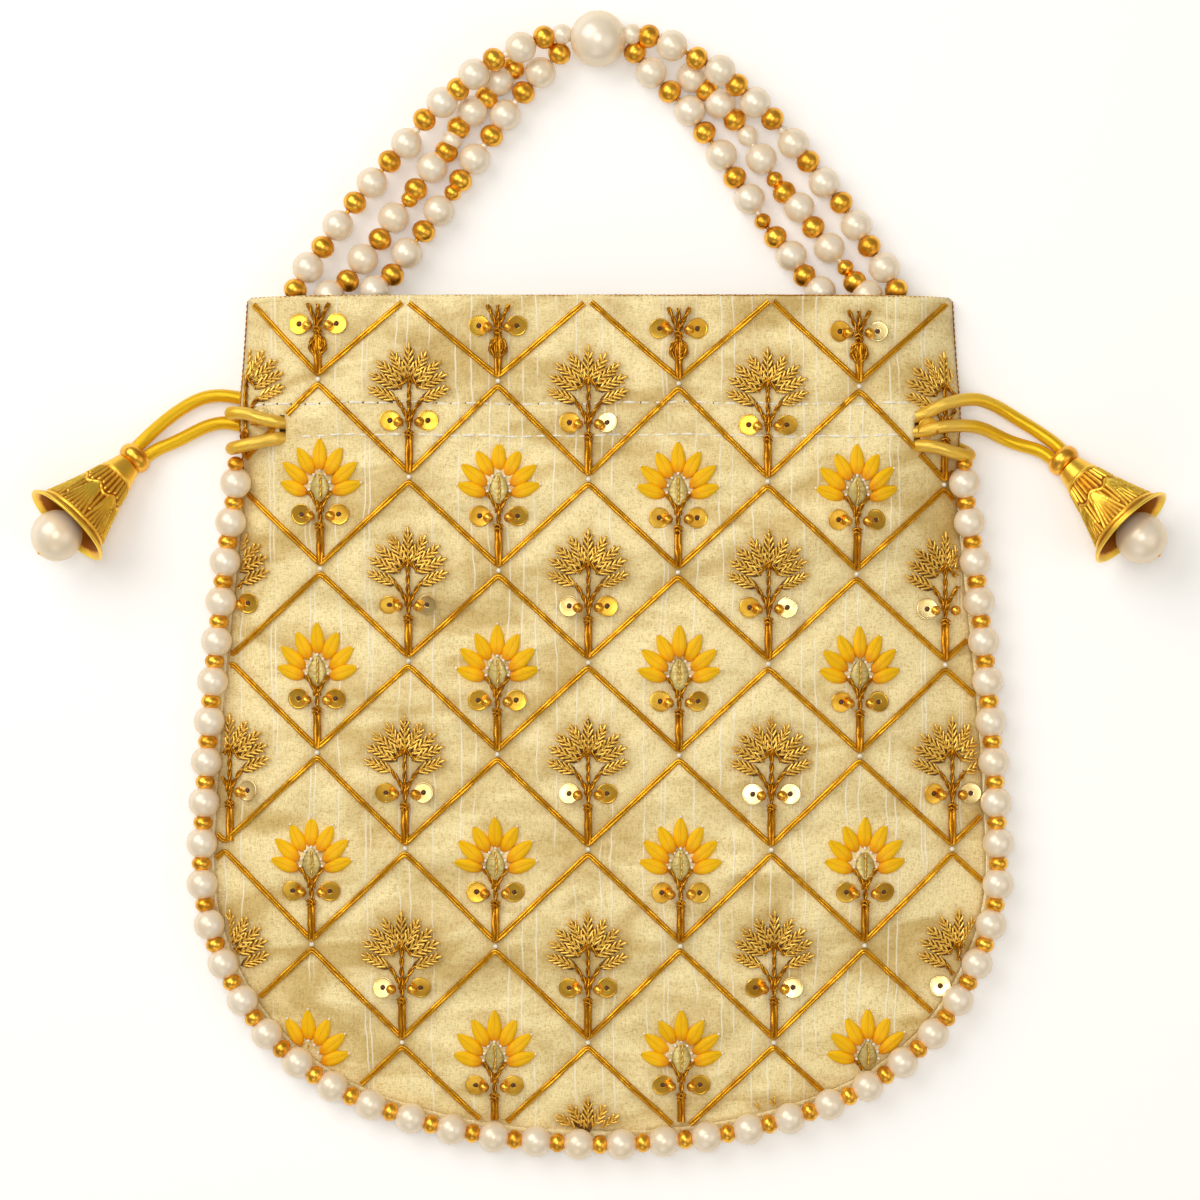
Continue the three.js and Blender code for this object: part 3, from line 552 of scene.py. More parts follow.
def twist(name, lines, ply, pitch, finish, sides=6, rule="twisted"):
    """A two-ply cord along each line."""
    values = {"Ply": ply * MM, "Pitch": pitch * MM, "Round": sides, "Finish": FINISHES[finish]}
    return grow(name, TREES[rule], lines_mesh(name + "_lines", lines), values)


def stitch(name, lines, step, template, finish):
    """A template at every step along each line."""
    pattern = new_piece(name + "_pattern", template)
    values = {"Piece": pattern, "Step": step * MM, "Finish": FINISHES[finish]}
    piece = grow(name, TREES["stitched"], lines_mesh(name + "_lines", lines), values)
    bpy.data.objects.remove(pattern)
    return piece


# Finishes

def tinted(colour, tint):
    return tuple(c * k for c, k in zip(colour, tint))


def lightened(colour, factor):
    return tuple(min(c * factor, 1) for c in colour)


def start_finish(name, colour, roughness, metallic=0.0, **sockets):
    material = FINISHES[name] = bpy.data.materials.new(name)
    material.use_nodes = True
    shader = material.node_tree.nodes["Principled BSDF"]
    feed(shader.inputs["Base Color"], (*colour, 1))
    feed(shader.inputs["Roughness"], roughness)
    feed(shader.inputs["Metallic"], metallic)
    for key, value in sockets.items():
        feed(shader.inputs[key.replace("_", " ")], value)
    return shader.inputs, adder(material.node_tree)


def stretched(add, scale, source="Object"):
    return add("ShaderNodeMapping", Vector=add("ShaderNodeTexCoord").outputs[source], Scale=scale).outputs[0]


def noise_at(add, scale, detail=2.0, distortion=0.0, source="Object"):
    """Noise with its own fineness along each axis, from about 0.3 to 0.7."""
    return add("ShaderNodeTexNoise", Vector=stretched(add, scale, source), Scale=1.0, Detail=detail,
               Distortion=distortion).outputs[0]


def ramp(add, value, stops):
    node = add("ShaderNodeValToRGB", Fac=value)
    bands = node.color_ramp.elements
    while len(bands) < len(stops):
        bands.new(0.5)
    for band, (at, colour) in zip(bands, stops):
        band.position = at
        band.color = (*colour, 1) if isinstance(colour, tuple) else (colour, colour, colour, 1)
    return node.outputs[0]


def blended(add, factor, first, second, mode="MIX"):
    node = add("ShaderNodeMix", {"data_type": "RGBA", "blend_type": mode})
    feed(node.inputs[0], factor)
    for socket, colour in ((node.inputs[6], first), (node.inputs[7], second)):
        feed(socket, (*colour, 1) if isinstance(colour, tuple) else colour)
    return node.outputs[2]


def patched(add, tone, low, high, first, second):
    """The first colour where the tone is low, the second where it is high."""
    return blended(add, ramp(add, tone, [(low, 0.0), (high, 1.0)]), first, second)


def weighed(add, first, first_weight, second, second_weight):
    return math_node(add, "ADD", math_node(add, "MULTIPLY", first, first_weight),
                     math_node(add, "MULTIPLY", second, second_weight))


def attribute(add, name):
    return add("ShaderNodeAttribute", {"attribute_name": name}).outputs["Fac"]


def ways(add, source):
    return add("ShaderNodeSeparateXYZ", Vector=add("ShaderNodeTexCoord").outputs[source]).outputs


def add_bump(add, sockets, height, strength, depth):
    node = add("ShaderNodeBump", Strength=strength, Distance=depth, Height=height)
    feed(sockets["Normal"], node.outputs[0])


def silk_finish(name, colour, slub):
    """Slubbed silk: a crackled weave with pale thick threads up the cloth, darkened and tinted gold beside
    the gold work as painted shade with painted reflected gold.
    """
    sockets, add = start_finish(name, colour, 0.46, Sheen_Weight=0.15, Sheen_Roughness=0.4)
    cross = noise_at(add, (1100, 3300, 1100), 3, 1.2)
    warp = noise_at(add, (3600, 700, 1800), 2, 0.6)
    weave = weighed(add, cross, 0.6, warp, 0.4)
    ground = ramp(add, weave, [
        (0.38, tinted(colour, (0.76, 0.67, 0.48))), (0.5, colour), (0.62, lightened(colour, 1.1))])
    clouds = noise_at(add, (34, 82, 34), 4, 0.8)
    shade = ramp(add, clouds, [(0.34, (0.7, 0.6, 0.4)), (0.56, (1.0, 1.0, 1.0))])
    shaded = blended(add, 1.0, shade, ground, "MULTIPLY")
    slubs_to_the_metre = 215.0
    across = weighed(add, ways(add, "Object")[0], slubs_to_the_metre, noise_at(add, (22, 48, 22), 3), 0.9)
    threads = add("ShaderNodeTexVoronoi", {"voronoi_dimensions": "1D"}, W=across, Scale=1.0)
    line = ramp(add, threads.outputs["Distance"], [(0.025, 1.0), (0.055, 0.0)])
    kept = ramp(add, noise_at(add, (130, 34, 60), 1), [(0.42, 0.0), (0.52, 1.0)])
    slubs = math_node(add, "MULTIPLY", line, kept)
    threaded = blended(add, math_node(add, "MULTIPLY", slubs, 0.7), shaded, slub)
    # Painted shade: near the gold work the silk is blended towards a dark gold, standing in for shade and
    # reflected gold.
    painted_shade_colour = tinted(colour, (0.5, 0.36, 0.12))
    feed(sockets["Base Color"], blended(add, attribute(add, "near_gold"), threaded, painted_shade_colour))
    add_bump(add, sockets, weighed(add, weave, 0.8, slubs, 0.5), 0.5, 0.0003)


def thread_finish(name, colour, roughness, metallic, streak=(500, 500, 500), deepest=(0.76, 0.64, 0.45)):
    """Metallic thread, brighter and deeper from place to place."""
    sockets, add = start_finish(name, colour, roughness, metallic, Specular_IOR_Level=0.6)
    tone = noise_at(add, streak)
    feed(sockets["Base Color"], patched(add, tone, 0.34, 0.55, tinted(colour, deepest), colour))
    feed(sockets["Roughness"], ramp(add, tone, [(0.3, roughness + 0.12), (0.7, roughness - 0.06)]))
    add_bump(add, sockets, noise_at(add, (2600, 2600, 2600)), 0.1, 0.0002)


def petal_finish(name, colour, heart):
    """Satin stitch: fine strands along the petal, with a darker line where the two sides meet."""
    sockets, add = start_finish(name, colour, 0.5, Specular_IOR_Level=0.25)
    strands = noise_at(add, (1.6, 34, 1), source="UV")
    along, across, _ = ways(add, "UV")
    length_tone = ramp(add, along, [(0.02, heart), (0.34, colour), (0.9, lightened(colour, 1.12))])
    middle = ramp(add, across, [(0.4, 0.0), (0.5, 1.0), (0.6, 0.0)])
    lined = blended(add, math_node(add, "MULTIPLY", middle, 0.5), length_tone, heart)
    feed(sockets["Base Color"], blended(add, ramp(add, strands, [(0.4, 0.3), (0.56, 0.0)]), lined, heart))
    add_bump(add, sockets, strands, 0.7, 0.0003)


def pearl_finish(name, colour):
    """Imitation pearl: a cream body, faintly clouded, under a lustre coat with a golden sheen at its rim."""
    sockets, add = start_finish(
        name, colour, 0.33, 0.2, Coat_Weight=0.5, Coat_Roughness=0.22,
        Sheen_Weight=1.0, Sheen_Roughness=0.45, Sheen_Tint=(0.62, 0.41, 0.14, 1))
    clouds = noise_at(add, (160, 160, 160))
    feed(sockets["Base Color"], patched(add, clouds, 0.35, 0.65, tinted(colour, (0.98, 0.93, 0.84)), colour))


def metal_finish(name, colour, roughness):
    """Gold plate, with a deeper tone and a duller polish in patches."""
    sockets, add = start_finish(name, colour, roughness, 1.0)
    tone = noise_at(add, (240, 240, 240), 3)
    feed(sockets["Base Color"], patched(add, tone, 0.35, 0.62, tinted(colour, (0.72, 0.6, 0.42)), colour))
    feed(sockets["Roughness"], ramp(add, tone, [(0.3, roughness + 0.1), (0.7, roughness)]))


def engraved_finish(name, colour, recess):
    """Antique gold: the engraved recesses hold a dark patina."""
    sockets, add = start_finish(name, colour, 0.27, 1.0)
    relief = attribute(add, "relief")
    grain = noise_at(add, (900, 900, 900), 3)
    rubbed = math_node(add, "ADD", relief, math_node(add, "MULTIPLY", grain, 0.3))
    tones = [(0.3, recess), (0.62, colour), (0.95, lightened(colour, 1.3))]
    feed(sockets["Base Color"], ramp(add, rubbed, tones))
    feed(sockets["Roughness"], ramp(add, rubbed, [(0.3, 0.55), (0.8, 0.34)]))
    add_bump(add, sockets, grain, 0.12, 0.0002)


def satin_cord_finish(name, colour, pale):
    """Satin cord: fine slanting wraps, painted paler where it lies on the silk, as painted light thrown back
    from the silk.
    """
    sockets, add = start_finish(name, colour, 0.3, 0.6)
    wraps = add("ShaderNodeTexWave", {"wave_type": "BANDS", "bands_direction": "DIAGONAL"},
                Vector=stretched(add, (3.4, 2.0, 1), "UV"), Scale=1.0, Distortion=1.2,
                Detail=2.0).outputs["Fac"]
    wound = blended(add, wraps, tinted(colour, (0.8, 0.68, 0.45)), colour)
    # Painted light: the pale attribute blends in the pale colour, for the light the silk throws on the cord.
    feed(sockets["Base Color"], blended(add, attribute(add, "pale"), wound, pale))
    add_bump(add, sockets, wraps, 0.3, 0.0002)


def plain_weave_finish(name, colour):
    sockets, add = start_finish(name, colour, 0.6, Sheen_Weight=0.2)
    weave = noise_at(add, (1500, 300, 800))
    feed(sockets["Base Color"], patched(add, weave, 0.35, 0.65, tinted(colour, (0.8, 0.8, 0.8)), colour))
    add_bump(add, sockets, weave, 0.3, 0.0003)


# Settings

def colour_setting(label, words, red, green, blue):
    return bpy.props.FloatVectorProperty(
        name=label, description=words, subtype="COLOR", size=3, min=0, max=1, default=srgb(red, green, blue))


def size_setting(label, words, millimetres):
    return bpy.props.FloatProperty(
        name=label, description=words, unit="LENGTH", min=0, default=millimetres * MM)


class PotliColours(bpy.types.PropertyGroup):
    silk: colour_setting("Silk", "Champagne ground of the front and back", 248, 230, 173)
    slub: colour_setting("Slub", "Pale thick threads in the silk", 255, 249, 226)
    lining: colour_setting("Lining", "Plain cloth inside the bag", 214, 187, 134)
    lattice: colour_setting("Lattice", "Couched gold cord", 218, 160, 28)
    sprig: colour_setting("Sprig", "Bullion of the gold sprigs", 248, 206, 98)
    petal: colour_setting("Petal", "Satin stitched petals", 255, 199, 0)
    heart: colour_setting("Petal heart", "Deep tone at the foot of a petal", 243, 146, 0)
    leaf: colour_setting("Leaf", "Small leaf in the flower", 206, 188, 118)
    pearl: colour_setting("Pearl", "Body of the pearls", 243, 231, 211)
    gold: colour_setting("Gold bead", "Polished gold beads", 255, 196, 74)
    bell: colour_setting("Bell", "Antique gold of the bells", 255, 193, 72)
    cord: colour_setting("Drawstring", "Satin drawstring", 255, 210, 30)


class PotliSizes(bpy.types.PropertyGroup):
    edge_pearl: size_setting("Edging pearl", "Diameter of an edging pearl", 7.8)
    edge_gold: size_setting("Edging gold bead", "Diameter of a gold bead between two pearls", 4.9)
    handle_pearl: size_setting("Handle pearl", "Diameter of a handle pearl", 7.8)
    handle_gold: size_setting("Handle gold bead", "Diameter of a handle's gold bead", 6.0)
    grip_pearl: size_setting("Grip pearl", "Diameter of the pearl in the middle of the handle", 14)
    sequin: size_setting("Sequin", "Diameter of a sequin", 5.3)
    lattice_ply: size_setting("Lattice ply", "Radius of one ply of the lattice cord", 0.42)


def colours():
    return bpy.context.scene.potli_colours


def sizes():
    return bpy.context.scene.potli_sizes


def in_mm(value):
    return value / MM


# Embroidery plan: where each motif stands, and the strokes and pieces that make it

NEAR_FRONT = 100            # crossings further out than this have nothing on the front
LEFT_FEET, LEFT_FEET_UPPER, LEFT_FEET_LOWER = 90, 88.6, 93.0
CORD_LIFT, STEM_LIFT, KNOT_LIFT = 0.5, 0.62, 1.5    # of a line's middle over the cloth
SEQUIN_OUT, BEAD_OUT = 4.7, 2.6                     # from the stem
MOTIF_BEAD, PETAL_TIP, PICOT, CROSSING_SEED = 1.3, 0.32, 0.4, 0.6       # radii
SEQUIN_KNOT = (0.7, 0.7, 0.4)
LEAF_BARBS = 4                                      # on each side of a sprig's leaf
BARB_SLANT = math.radians(30)


def crossing(row, column):
    """Where the lattice's cords meet; row 0 is the mouth's edge."""
    x = LATTICE_X + (column + (row % 2) / 2) * LATTICE_WIDTH
    y = LATTICE_TOP - (row - 1) * LATTICE_STEP if row else MOUTH_Y - MOUTH_MARGIN
    across, up = by_hand(x, y)
    return x + across, y + (up if row else 0)


def runs_of(mask):
    """Start and end of each unbroken stretch."""
    edges = np.flatnonzero(np.diff(np.r_[0, mask.astype(int), 0]))
    return list(zip(edges[::2], edges[1::2]))


def in_slit(x, y):
    """True where a point lies in one of the front's slits."""
    middle, half = (np.where(x < 0, SLITS["left"][k], SLITS["right"][k]) for k in (0, 1))
    return (np.abs(np.abs(x) - SLIT_X) < 1.3) & (np.abs(y - middle) < half)


def lattice_lines():
    """The cords of the lattice, one zigzag a row, cut at the seam and the slits."""
    lines = []
    for row in range(LATTICE_ROWS):
        corners = []
        for column in range(-3, 4):
            x, y = crossing(row, column)
            corners.append((x, y - LATTICE_PART / 2 if row else y))
            x, y = crossing(row + 1, column + row % 2)
            corners.append((x, y + LATTICE_PART / 2))
        if row == 0:
            reach = half_width(MOUTH_Y) - 1.0
            corners = [(np.clip(x, -reach, reach), y) for x, y in corners if abs(x) < NEAR_FRONT]
        line = spaced(np.array(sorted(corners)), step=0.8)
        eased = line.copy()
        eased[1:-1] = (line[:-2] + 2 * line[1:-1] + line[2:]) / 4
        mask = on_front(eased[:, 0], eased[:, 1], 0.4) & ~in_slit(eased[:, 0], eased[:, 1])
        if row == 0:
            mask &= eased[:, 1] < eased[:, 1].max() - 0.5
        lines += [on_cloth(eased[a:b], CORD_LIFT) for a, b in runs_of(mask) if b - a > 3]
    return lines


def feet(rows):
    """Feet of the motifs of some rows; the leftmost ones are set in so that half of them shows."""
    for row in rows:
        for column in range(-2, 3):
            x, y = crossing(row, column)
            if x < -LEFT_FEET:
                x = -LEFT_FEET_UPPER if row == 2 else -LEFT_FEET_LOWER
            if abs(x) < NEAR_FRONT:
                yield x, y + LATTICE_PART / 2


# Strokes and pieces of one motif, from its foot; leaves and petals have a base and a tip
SPRIG_LEAVES = [
    ((0, 23.2), (0, 31.4)),
    ((-0.9, 23.4), (-4.2, 29.6)), ((0.9, 23.4), (4.1, 29.5)),
    ((-1.7, 22.4), (-7.4, 27.2)), ((1.7, 22.4), (7.3, 27.1)),
    ((-2.2, 21.0), (-9.0, 24.2)), ((2.2, 21.0), (8.9, 24.1)),
    ((-3.0, 18.0), (-9.4, 20.8)), ((3.0, 18.0), (9.3, 20.7)),
]
SPRIG_STROKES = [
    [(0, 9.6), (0, 16), (0, 24.0)],
    [(-0.4, 12.6), (-0.9, 14.6), (-3.3, 18.5)], [(0.4, 12.6), (0.9, 14.6), (3.3, 18.5)],
    [(-2.6, 21.2), (-1.2, 22.6), (0, 24.3)], [(2.6, 21.2), (1.2, 22.6), (0, 24.3)],
]
FLOWER_STROKES = [
    [(0, 9.4), (0, 15.6)],
    [(-0.4, 13.2), (-0.9, 15.2), (-2.9, 18.2)], [(0.4, 13.2), (0.9, 15.2), (2.9, 18.2)],
]
LEAF_VEIN = [(0, 16.2), (0.2, 19), (0, 22.4)]
PICOTS = [(0, 23.4), (-1.5, 22.3), (1.5, 22.3), (-2.5, 20.4), (2.5, 20.4), (-2.8, 18.6), (2.8, 18.6)]
PETALS = [
    ((0, 23.2), (0, 31.4)),
    ((-1.8, 22.2), (-5.4, 29.0)), ((1.8, 22.2), (5.4, 29.0)),
    ((-3.0, 20.0), (-9.3, 25.3)), ((3.0, 20.0), (9.3, 25.3)),
    ((-3.1, 17.8), (-10.3, 20.3)), ((3.1, 17.8), (10.3, 20.3)),
]
BUD_STROKES = [
    [(0, 10.8), (0, 17.6)],
    [(-0.4, 12.4), (-1.2, 14.6), (-2.6, 17.8)], [(0.4, 12.4), (1.2, 14.6), (2.8, 17.8)],
    [(-0.3, 4.4), (-1.9, 6.6), (-1.7, 8.2), (-0.5, 9.6)], [(0.3, 4.4), (1.9, 6.6), (1.7, 8.2), (0.5, 9.6)],
    [(-0.2, 5.2), (-1.0, 7.0), (-0.9, 8.4), (-0.2, 10)], [(0.2, 5.2), (1.0, 7.0), (0.9, 8.4), (0.2, 10)],
]
BUD_STEM = [(0, 0.3), (0, 11.2)]
STEM = [(0, 0.2), (0, 9.8)]
KNOT_STROKES = [[(-0.9, 9.5), (0, 10.3), (0.9, 9.5)], [(-0.8, 8.6), (0, 9.4), (0.8, 8.6)]]


class MotifPlan:
    """Everything stitched on the front cloth, gathered by kind."""

    def __init__(self):
        self.chance = np.random.default_rng(11)
        self.stems, self.strokes, self.veins = [], [], []
        self.barbs, self.petals, self.leaves, self.sequins, self.beads, self.tips = [], [], [], [], [], []
        self.knots, self.pads, self.glints = [], [], []

    def stroke(self, into, foot, points, lift, step=0.7):
        line = spaced(smooth_line(np.array(points, float)), step=step) + np.array(foot)
        mask = on_front(line[:, 0], line[:, 1]) & ~in_slit(line[:, 0], line[:, 1])
        into.extend(on_cloth(line[a:b], lift) for a, b in runs_of(mask) if b - a > 2)

    def branches(self, foot, strokes, lift):
        for points in strokes:
            self.stroke(self.strokes, foot, points, lift)

    def spot(self, into, x, y, lift, angle, size, margin=1.2, tilt=(0, 0)):
        x, y = np.float64(x), np.float64(y)
        if not on_front(x, y, margin) or in_slit(x, y):
            return
        turn = turn_on_cloth(x, y, angle).to_matrix()
        turn = turn @ Matrix.Rotation(tilt[0], 3, "X") @ Matrix.Rotation(tilt[1], 3, "Y")
        into.append(((x, y, float(cloth_top(x, y)) + lift), turn.to_euler(), size))

    def pair_of_sequins(self, foot, height, bright):
        """Two sequins under two beads; a bright one is tilted to catch the light and takes a paler metal
        colour as a painted glint.
        """
        radius = in_mm(sizes().sequin) / 2
        for side in (-1, 1):
            x, y = foot[0] + side * SEQUIN_OUT, foot[1] + height + 0.2
            tilted = self.chance.random() < bright
            tilt = (-0.21, -0.23) if tilted else tuple(self.chance.normal(0.11, 0.05, 2))
            lift = 1.1 if tilted else 0.62
            kind = self.glints if tilted else self.sequins
            self.spot(kind, x, y, lift, 0, (radius,) * 3, 1.8, tilt)
            # Partly painted shade: a dark thread knot in each sequin's hole, darker than the thread so that
            # it also stands for the shade in the hole.
            self.spot(self.knots, x - side * 0.1, y, lift - 0.15, 0, SEQUIN_KNOT, 1.8)
            x, y = foot[0] + side * BEAD_OUT, foot[1] + height - 0.2
            self.spot(self.beads, x, y, 1.6, 0, (MOTIF_BEAD,) * 3, 1.4)

    def leaf(self, foot, base, tip):
        """A leaf of bullion barbs on both sides of a vein, over a dark pad of painted shade for the gaps
        between the barbs.
        """
        base, tip = np.array(base, float), np.array(tip, float)
        way = tip - base
        heading = math.atan2(way[1], way[0])
        self.stroke(self.veins, foot, [base, base + way * 0.5, tip], 0.8, 0.5)
        for k in range(LEAF_BARBS):
            along = 0.06 + 0.84 * k / LEAF_BARBS
            reach = 2.9 - 0.8 * along
            for side in (-1, 1):
                angle = heading + side * BARB_SLANT
                start = base + way * (along + 0.03 * side)
                middle = start + np.array((math.cos(angle), math.sin(angle))) * reach * 0.56
                self.spot(self.barbs, *(middle + foot), 0.7, angle, (reach / 2, 0.31, 0.42))
        self.spot(self.barbs, *(tip + foot), 0.8, heading, (1.0, 0.36, 0.44))
        # Painted shade: a dark flat pad under the leaf, so the gaps between the barbs read as shade.
        pad = (np.linalg.norm(way) / 2 + 0.5, 1.5, 0.4)
        self.spot(self.pads, *((base + tip) / 2 + foot), 0.1, heading, pad, 2.8)

    def petal(self, foot, base, tip):
        base, tip = np.array(base), np.array(tip)
        way = tip - base
        angle = math.atan2(way[1], way[0])
        size = (np.linalg.norm(way) / 2 + 0.2, 1.82, 1.0)
        self.spot(self.petals, *((base + tip) / 2 + foot), 0.3, angle, size, 1.0)
        self.spot(self.tips, *(tip + foot), 0.5, angle, (PETAL_TIP,) * 3, 0.8)

    def sprig(self, foot):
        self.stroke(self.stems, foot, STEM, STEM_LIFT)
        self.branches(foot, SPRIG_STROKES, 0.7)
        self.branches(foot, KNOT_STROKES, KNOT_LIFT)
        for base, tip in SPRIG_LEAVES:
            self.leaf(foot, base, tip)
        self.pair_of_sequins(foot, 12.7, bright=0.55)

    def flower(self, foot):
        self.stroke(self.stems, foot, STEM, STEM_LIFT)
        self.branches(foot, FLOWER_STROKES, 0.8)
        self.branches(foot, KNOT_STROKES, KNOT_LIFT)
        for base, tip in PETALS:
            self.petal(foot, base, tip)
        for x, y in PICOTS:
            self.spot(self.tips, foot[0] + x, foot[1] + y, 0.6, 0, (PICOT,) * 3, 0.8)
        self.stroke(self.veins, foot, LEAF_VEIN, 1.0, 0.5)
        self.spot(self.leaves, foot[0], foot[1] + 19.2, 0.3, math.pi / 2, (4.2, 2.4, 0.7), 1.5)
        self.pair_of_sequins(foot, 12.2, bright=0.03)

    def bud(self, foot):
        self.stroke(self.stems, foot, BUD_STEM, STEM_LIFT)
        self.branches(foot, BUD_STROKES, 0.9)
        self.branches((foot[0], foot[1] + 1.6), KNOT_STROKES, KNOT_LIFT)
        self.pair_of_sequins(foot, 12.4, bright=0.1)


def whole_plan():
    """The plan of the front, made once for the cloth and for the stitching."""
    if "front" not in PLANS:
        plan = PLANS["front"] = MotifPlan()
        for foot in feet((2, 4, 6, 8, 10)):
            plan.sprig(foot)
        for foot in feet((3, 5, 7, 9)):
            plan.flower(foot)
        for foot in feet((1,)):
            plan.bud(foot)
    return PLANS["front"]


# Beads and small templates, in millimetres

def ball_template(name, rows=14, sides=24, radius=1.0):
    points, faces = turned(arc(radius, radius, rows), sides)
    return mesh_from(name, points, faces)


def pearl_template(name):
    return ball_template(name, 16, 26)


def round_bead_template(name, flat, hole=0.26, rows=12, sides=22):
    """A gold bead: a rounded barrel with a sunk hole at each end."""
    end = math.degrees(math.acos(hole))
    body = arc(1, flat, rows, -end, end)
    rim = body[-1][1]
    sunk = [(0, rim - 0.3), (hole * 0.75, rim - 0.25)]
    points, faces = turned([(r, -h) for r, h in sunk] + body + sunk[::-1], sides)
    return mesh_from(name, points, faces)


def sequin_template(name):
    """A flat disc with a raised rim and a hole in the middle."""
    profile = [(0.22, 0.0), (0.24, 0.05), (0.28, 0.06), (0.31, 0.06), (0.83, 0.06), (0.87, 0.064),
               (0.94, 0.1), (1.0, 0.08), (1.0, 0.02), (0.95, -0.02), (0.3, -0.02)]
    points, faces = turned(profile, 20, closed=True)
    return mesh_from(name, points, [f[::-1] for f in faces])


def capsule_template(name):
    """A short bullion stitch along X, one unit each way."""
    ends = [(0, -1), (0.62, -0.93), (0.95, -0.7), (1, -0.3)]
    points, faces = turned(ends + [(r, -h) for r, h in reversed(ends)], 7)
    return mesh_from(name, [(z, x, y) for x, y, z in points], faces)


def stitch_template(name, half_length, half_width, half_height):
    """A running stitch along X."""
    points, faces = turned(arc(1, 1, 7), 8)
    return mesh_from(name, [(half_length * z, half_width * x, half_height * y) for x, y, z in points], faces)


PAD_DEPTH = 0.25            # of a stitched pad under the cloth, in its own heights


def pad_template(name, around=10, along=14, groove=0.2):
    """A raised, pointed pad of satin stitch along X, from -1 to 1, with a groove down the middle."""
    points, uv = [], []
    for i in range(along + 1):
        t = i / along
        wide = math.sin(math.pi * t ** 0.82) ** 0.72 if 0 < t < 1 else 0.02
        for k in range(around + 1):
            s = 2 * k / around - 1
            rise = (1 - s * s) ** 0.6 * wide - groove * wide * math.exp(-((s / 0.22) ** 2))
            points.append((2 * t - 1, s * wide, rise))
            uv.append((t, k / around))
    top = len(points)
    points += [(x, y, -PAD_DEPTH) for x, y, _ in points]
    uv += uv
    columns = around + 1
    upper = [f[::-1] for f in grid_faces(along + 1, columns)]
    lower = [tuple(i + top for i in f[::-1]) for f in upper]
    rim = list(range(columns)) + [r * columns + around for r in range(1, along + 1)]
    rim += [along * columns + k for k in range(around - 1, -1, -1)]
    rim += [r * columns for r in range(along - 1, 0, -1)]
    walls = [(a, b, b + top, a + top) for a, b in zip(rim, rim[1:] + rim[:1])]
    return mesh_from(name, points, upper + lower + walls, uv=uv)


def beads_along(line, at, radius):
    """Spots of round beads at distances along a line."""
    along = line_length(line)
    near = 0.4

    def point_at(distance):
        return np.array([np.interp(distance, along, line[:, k]) for k in range(3)])

    return [bead_spot(point_at(d), point_at(d + near) - point_at(d - near), radius) for d in at]


def bead_spot(point, heading, radius):
    return tuple(point), turn_to(heading).to_euler(), (radius, radius, radius)


# Edging and handle routes

EDGE_PEARLS = 46
EDGE_START_Y, EDGE_OUT, EDGE_UP = 29.5, 2.9, 3.1
EDGE_DRAWN_IN, EDGE_DRAWN_UP = 1.2, 0.9             # at the upper ends of the edging
EDGE_UNEVEN = 0.0055                                # wider steps at the bottom than at the sides
EDGE_END_BEAD = 2.1
STRAND_THREAD = 0.5


def beside_seam(out_by, up_by):
    """A line along the seam where it is edged, from the right side round the bottom to the left."""
    along = np.gradient(SEAM_LINE, axis=0)
    along /= np.linalg.norm(along, axis=1)[:, None]
    out = np.column_stack([-along[:, 1], along[:, 0]])
    keep = (SEAM_LINE[:, 1] < EDGE_START_Y) & (SEAM_LINE[:, 0] > out_by)
    half = np.column_stack([SEAM_LINE[keep] + out_by * out[keep], seam_top(SEAM_LINE[keep, 1]) + up_by])
    return spaced(np.vstack([half, half[::-1] * (-1, 1, 1)]), step=0.5)


# Heights of the handle's strands above the floor, by level
STRAND_HEIGHTS = {
    "outer": [(74, 5.9), (82.2, 5), (90.5, 4.0), (101.2, 4), (111, 4.6), (121, 7), (127.8, 9), (134.5, 9),
              (138, 7.4)],
    "middle": [(73.6, 5.9), (82.6, 4.6), (92.5, 3.9), (119.2, 3.9), (126.8, 3.8), (130, 3.4)],
    "inner": [(74, 5.9), (83.5, 4.6), (94.2, 3.9), (107.2, 3.9), (118.2, 4), (128.8, 4.8), (133.5, 5.6)],
}
# Beads from the mouth up, as p pearl, g gold, l light gold and s small pearl, with X and Y in millimetres
STRAND_BEADS = {
    ("outer", "left"):
        "g-76.3,74.2 p-73.2,79.8 g-69.5,85 p-65.8,90.5 g-61.5,96.2 p-57.2,101.2 g-52.8,106.5 "
        "p-48.5,111 g-44,116.8 p-39.5,121 g-35.5,124.2 p-31.5,127.8 g-26.5,131.5 p-19.8,134.5 "
        "g-14,137.2 s-9.5,138",
    ("middle", "left"):
        "p-67.8,72.8 g-63.2,76.5 p-59.5,82 g-55.2,87 p-51.8,92.5 l-47.8,97 g-46.2,99.6 p-42.2,105 "
        "g-38.5,109 s-37.2,111.8 g-35.5,115 p-32,119.2 g-28.5,122.5 p-25.5,126.8 g-21.8,130",
    ("inner", "left"):
        "p-56.5,74 g-52,78 p-48.5,83.5 g-44.2,89 p-40.5,94.2 l-37,98.7 g-35,101.8 p-31.5,107.2 "
        "g-27.2,113 p-23.8,118.2 g-19.2,123.8 p-15,128.8 g-10.2,133.5",
    ("outer", "right"):
        "g74.2,74.2 p71.2,79.8 g67.5,85.2 p64.2,90.5 g60.5,96.2 p56.2,101.2 g52.2,106.5 p48.5,111 "
        "g43.2,117 p38.8,121 g34.2,125.2 p30,128.8 g24.2,131.8 p18,135 g12.2,137.5 s8,138",
    ("middle", "right"):
        "p67,72.8 g63.8,76.2 l61.5,79.8 p57.5,84.8 g53.5,90 p50,95 g46.2,98.8 l43.8,102 p40.5,107.2 "
        "s37,113 g33.8,117 p30.2,121 g26.8,124.5 p23.2,127.8",
    ("inner", "right"):
        "p55.2,73.8 g51.2,77.8 p48,82.8 g44,87.5 l40.8,91.5 p37.5,97.2 g33.8,102.5 p30.5,108.2 "
        "g26.2,113.8 p22.5,119.2 g17.5,124 p12.8,128.8 g8.8,133.8",
}
GRIP_PLACE = (-0.5, 137.0, 7.0)
SMALL_PEARL, LIGHT_GOLD = 0.66, 0.72                # sizes as shares of the handle's other beads

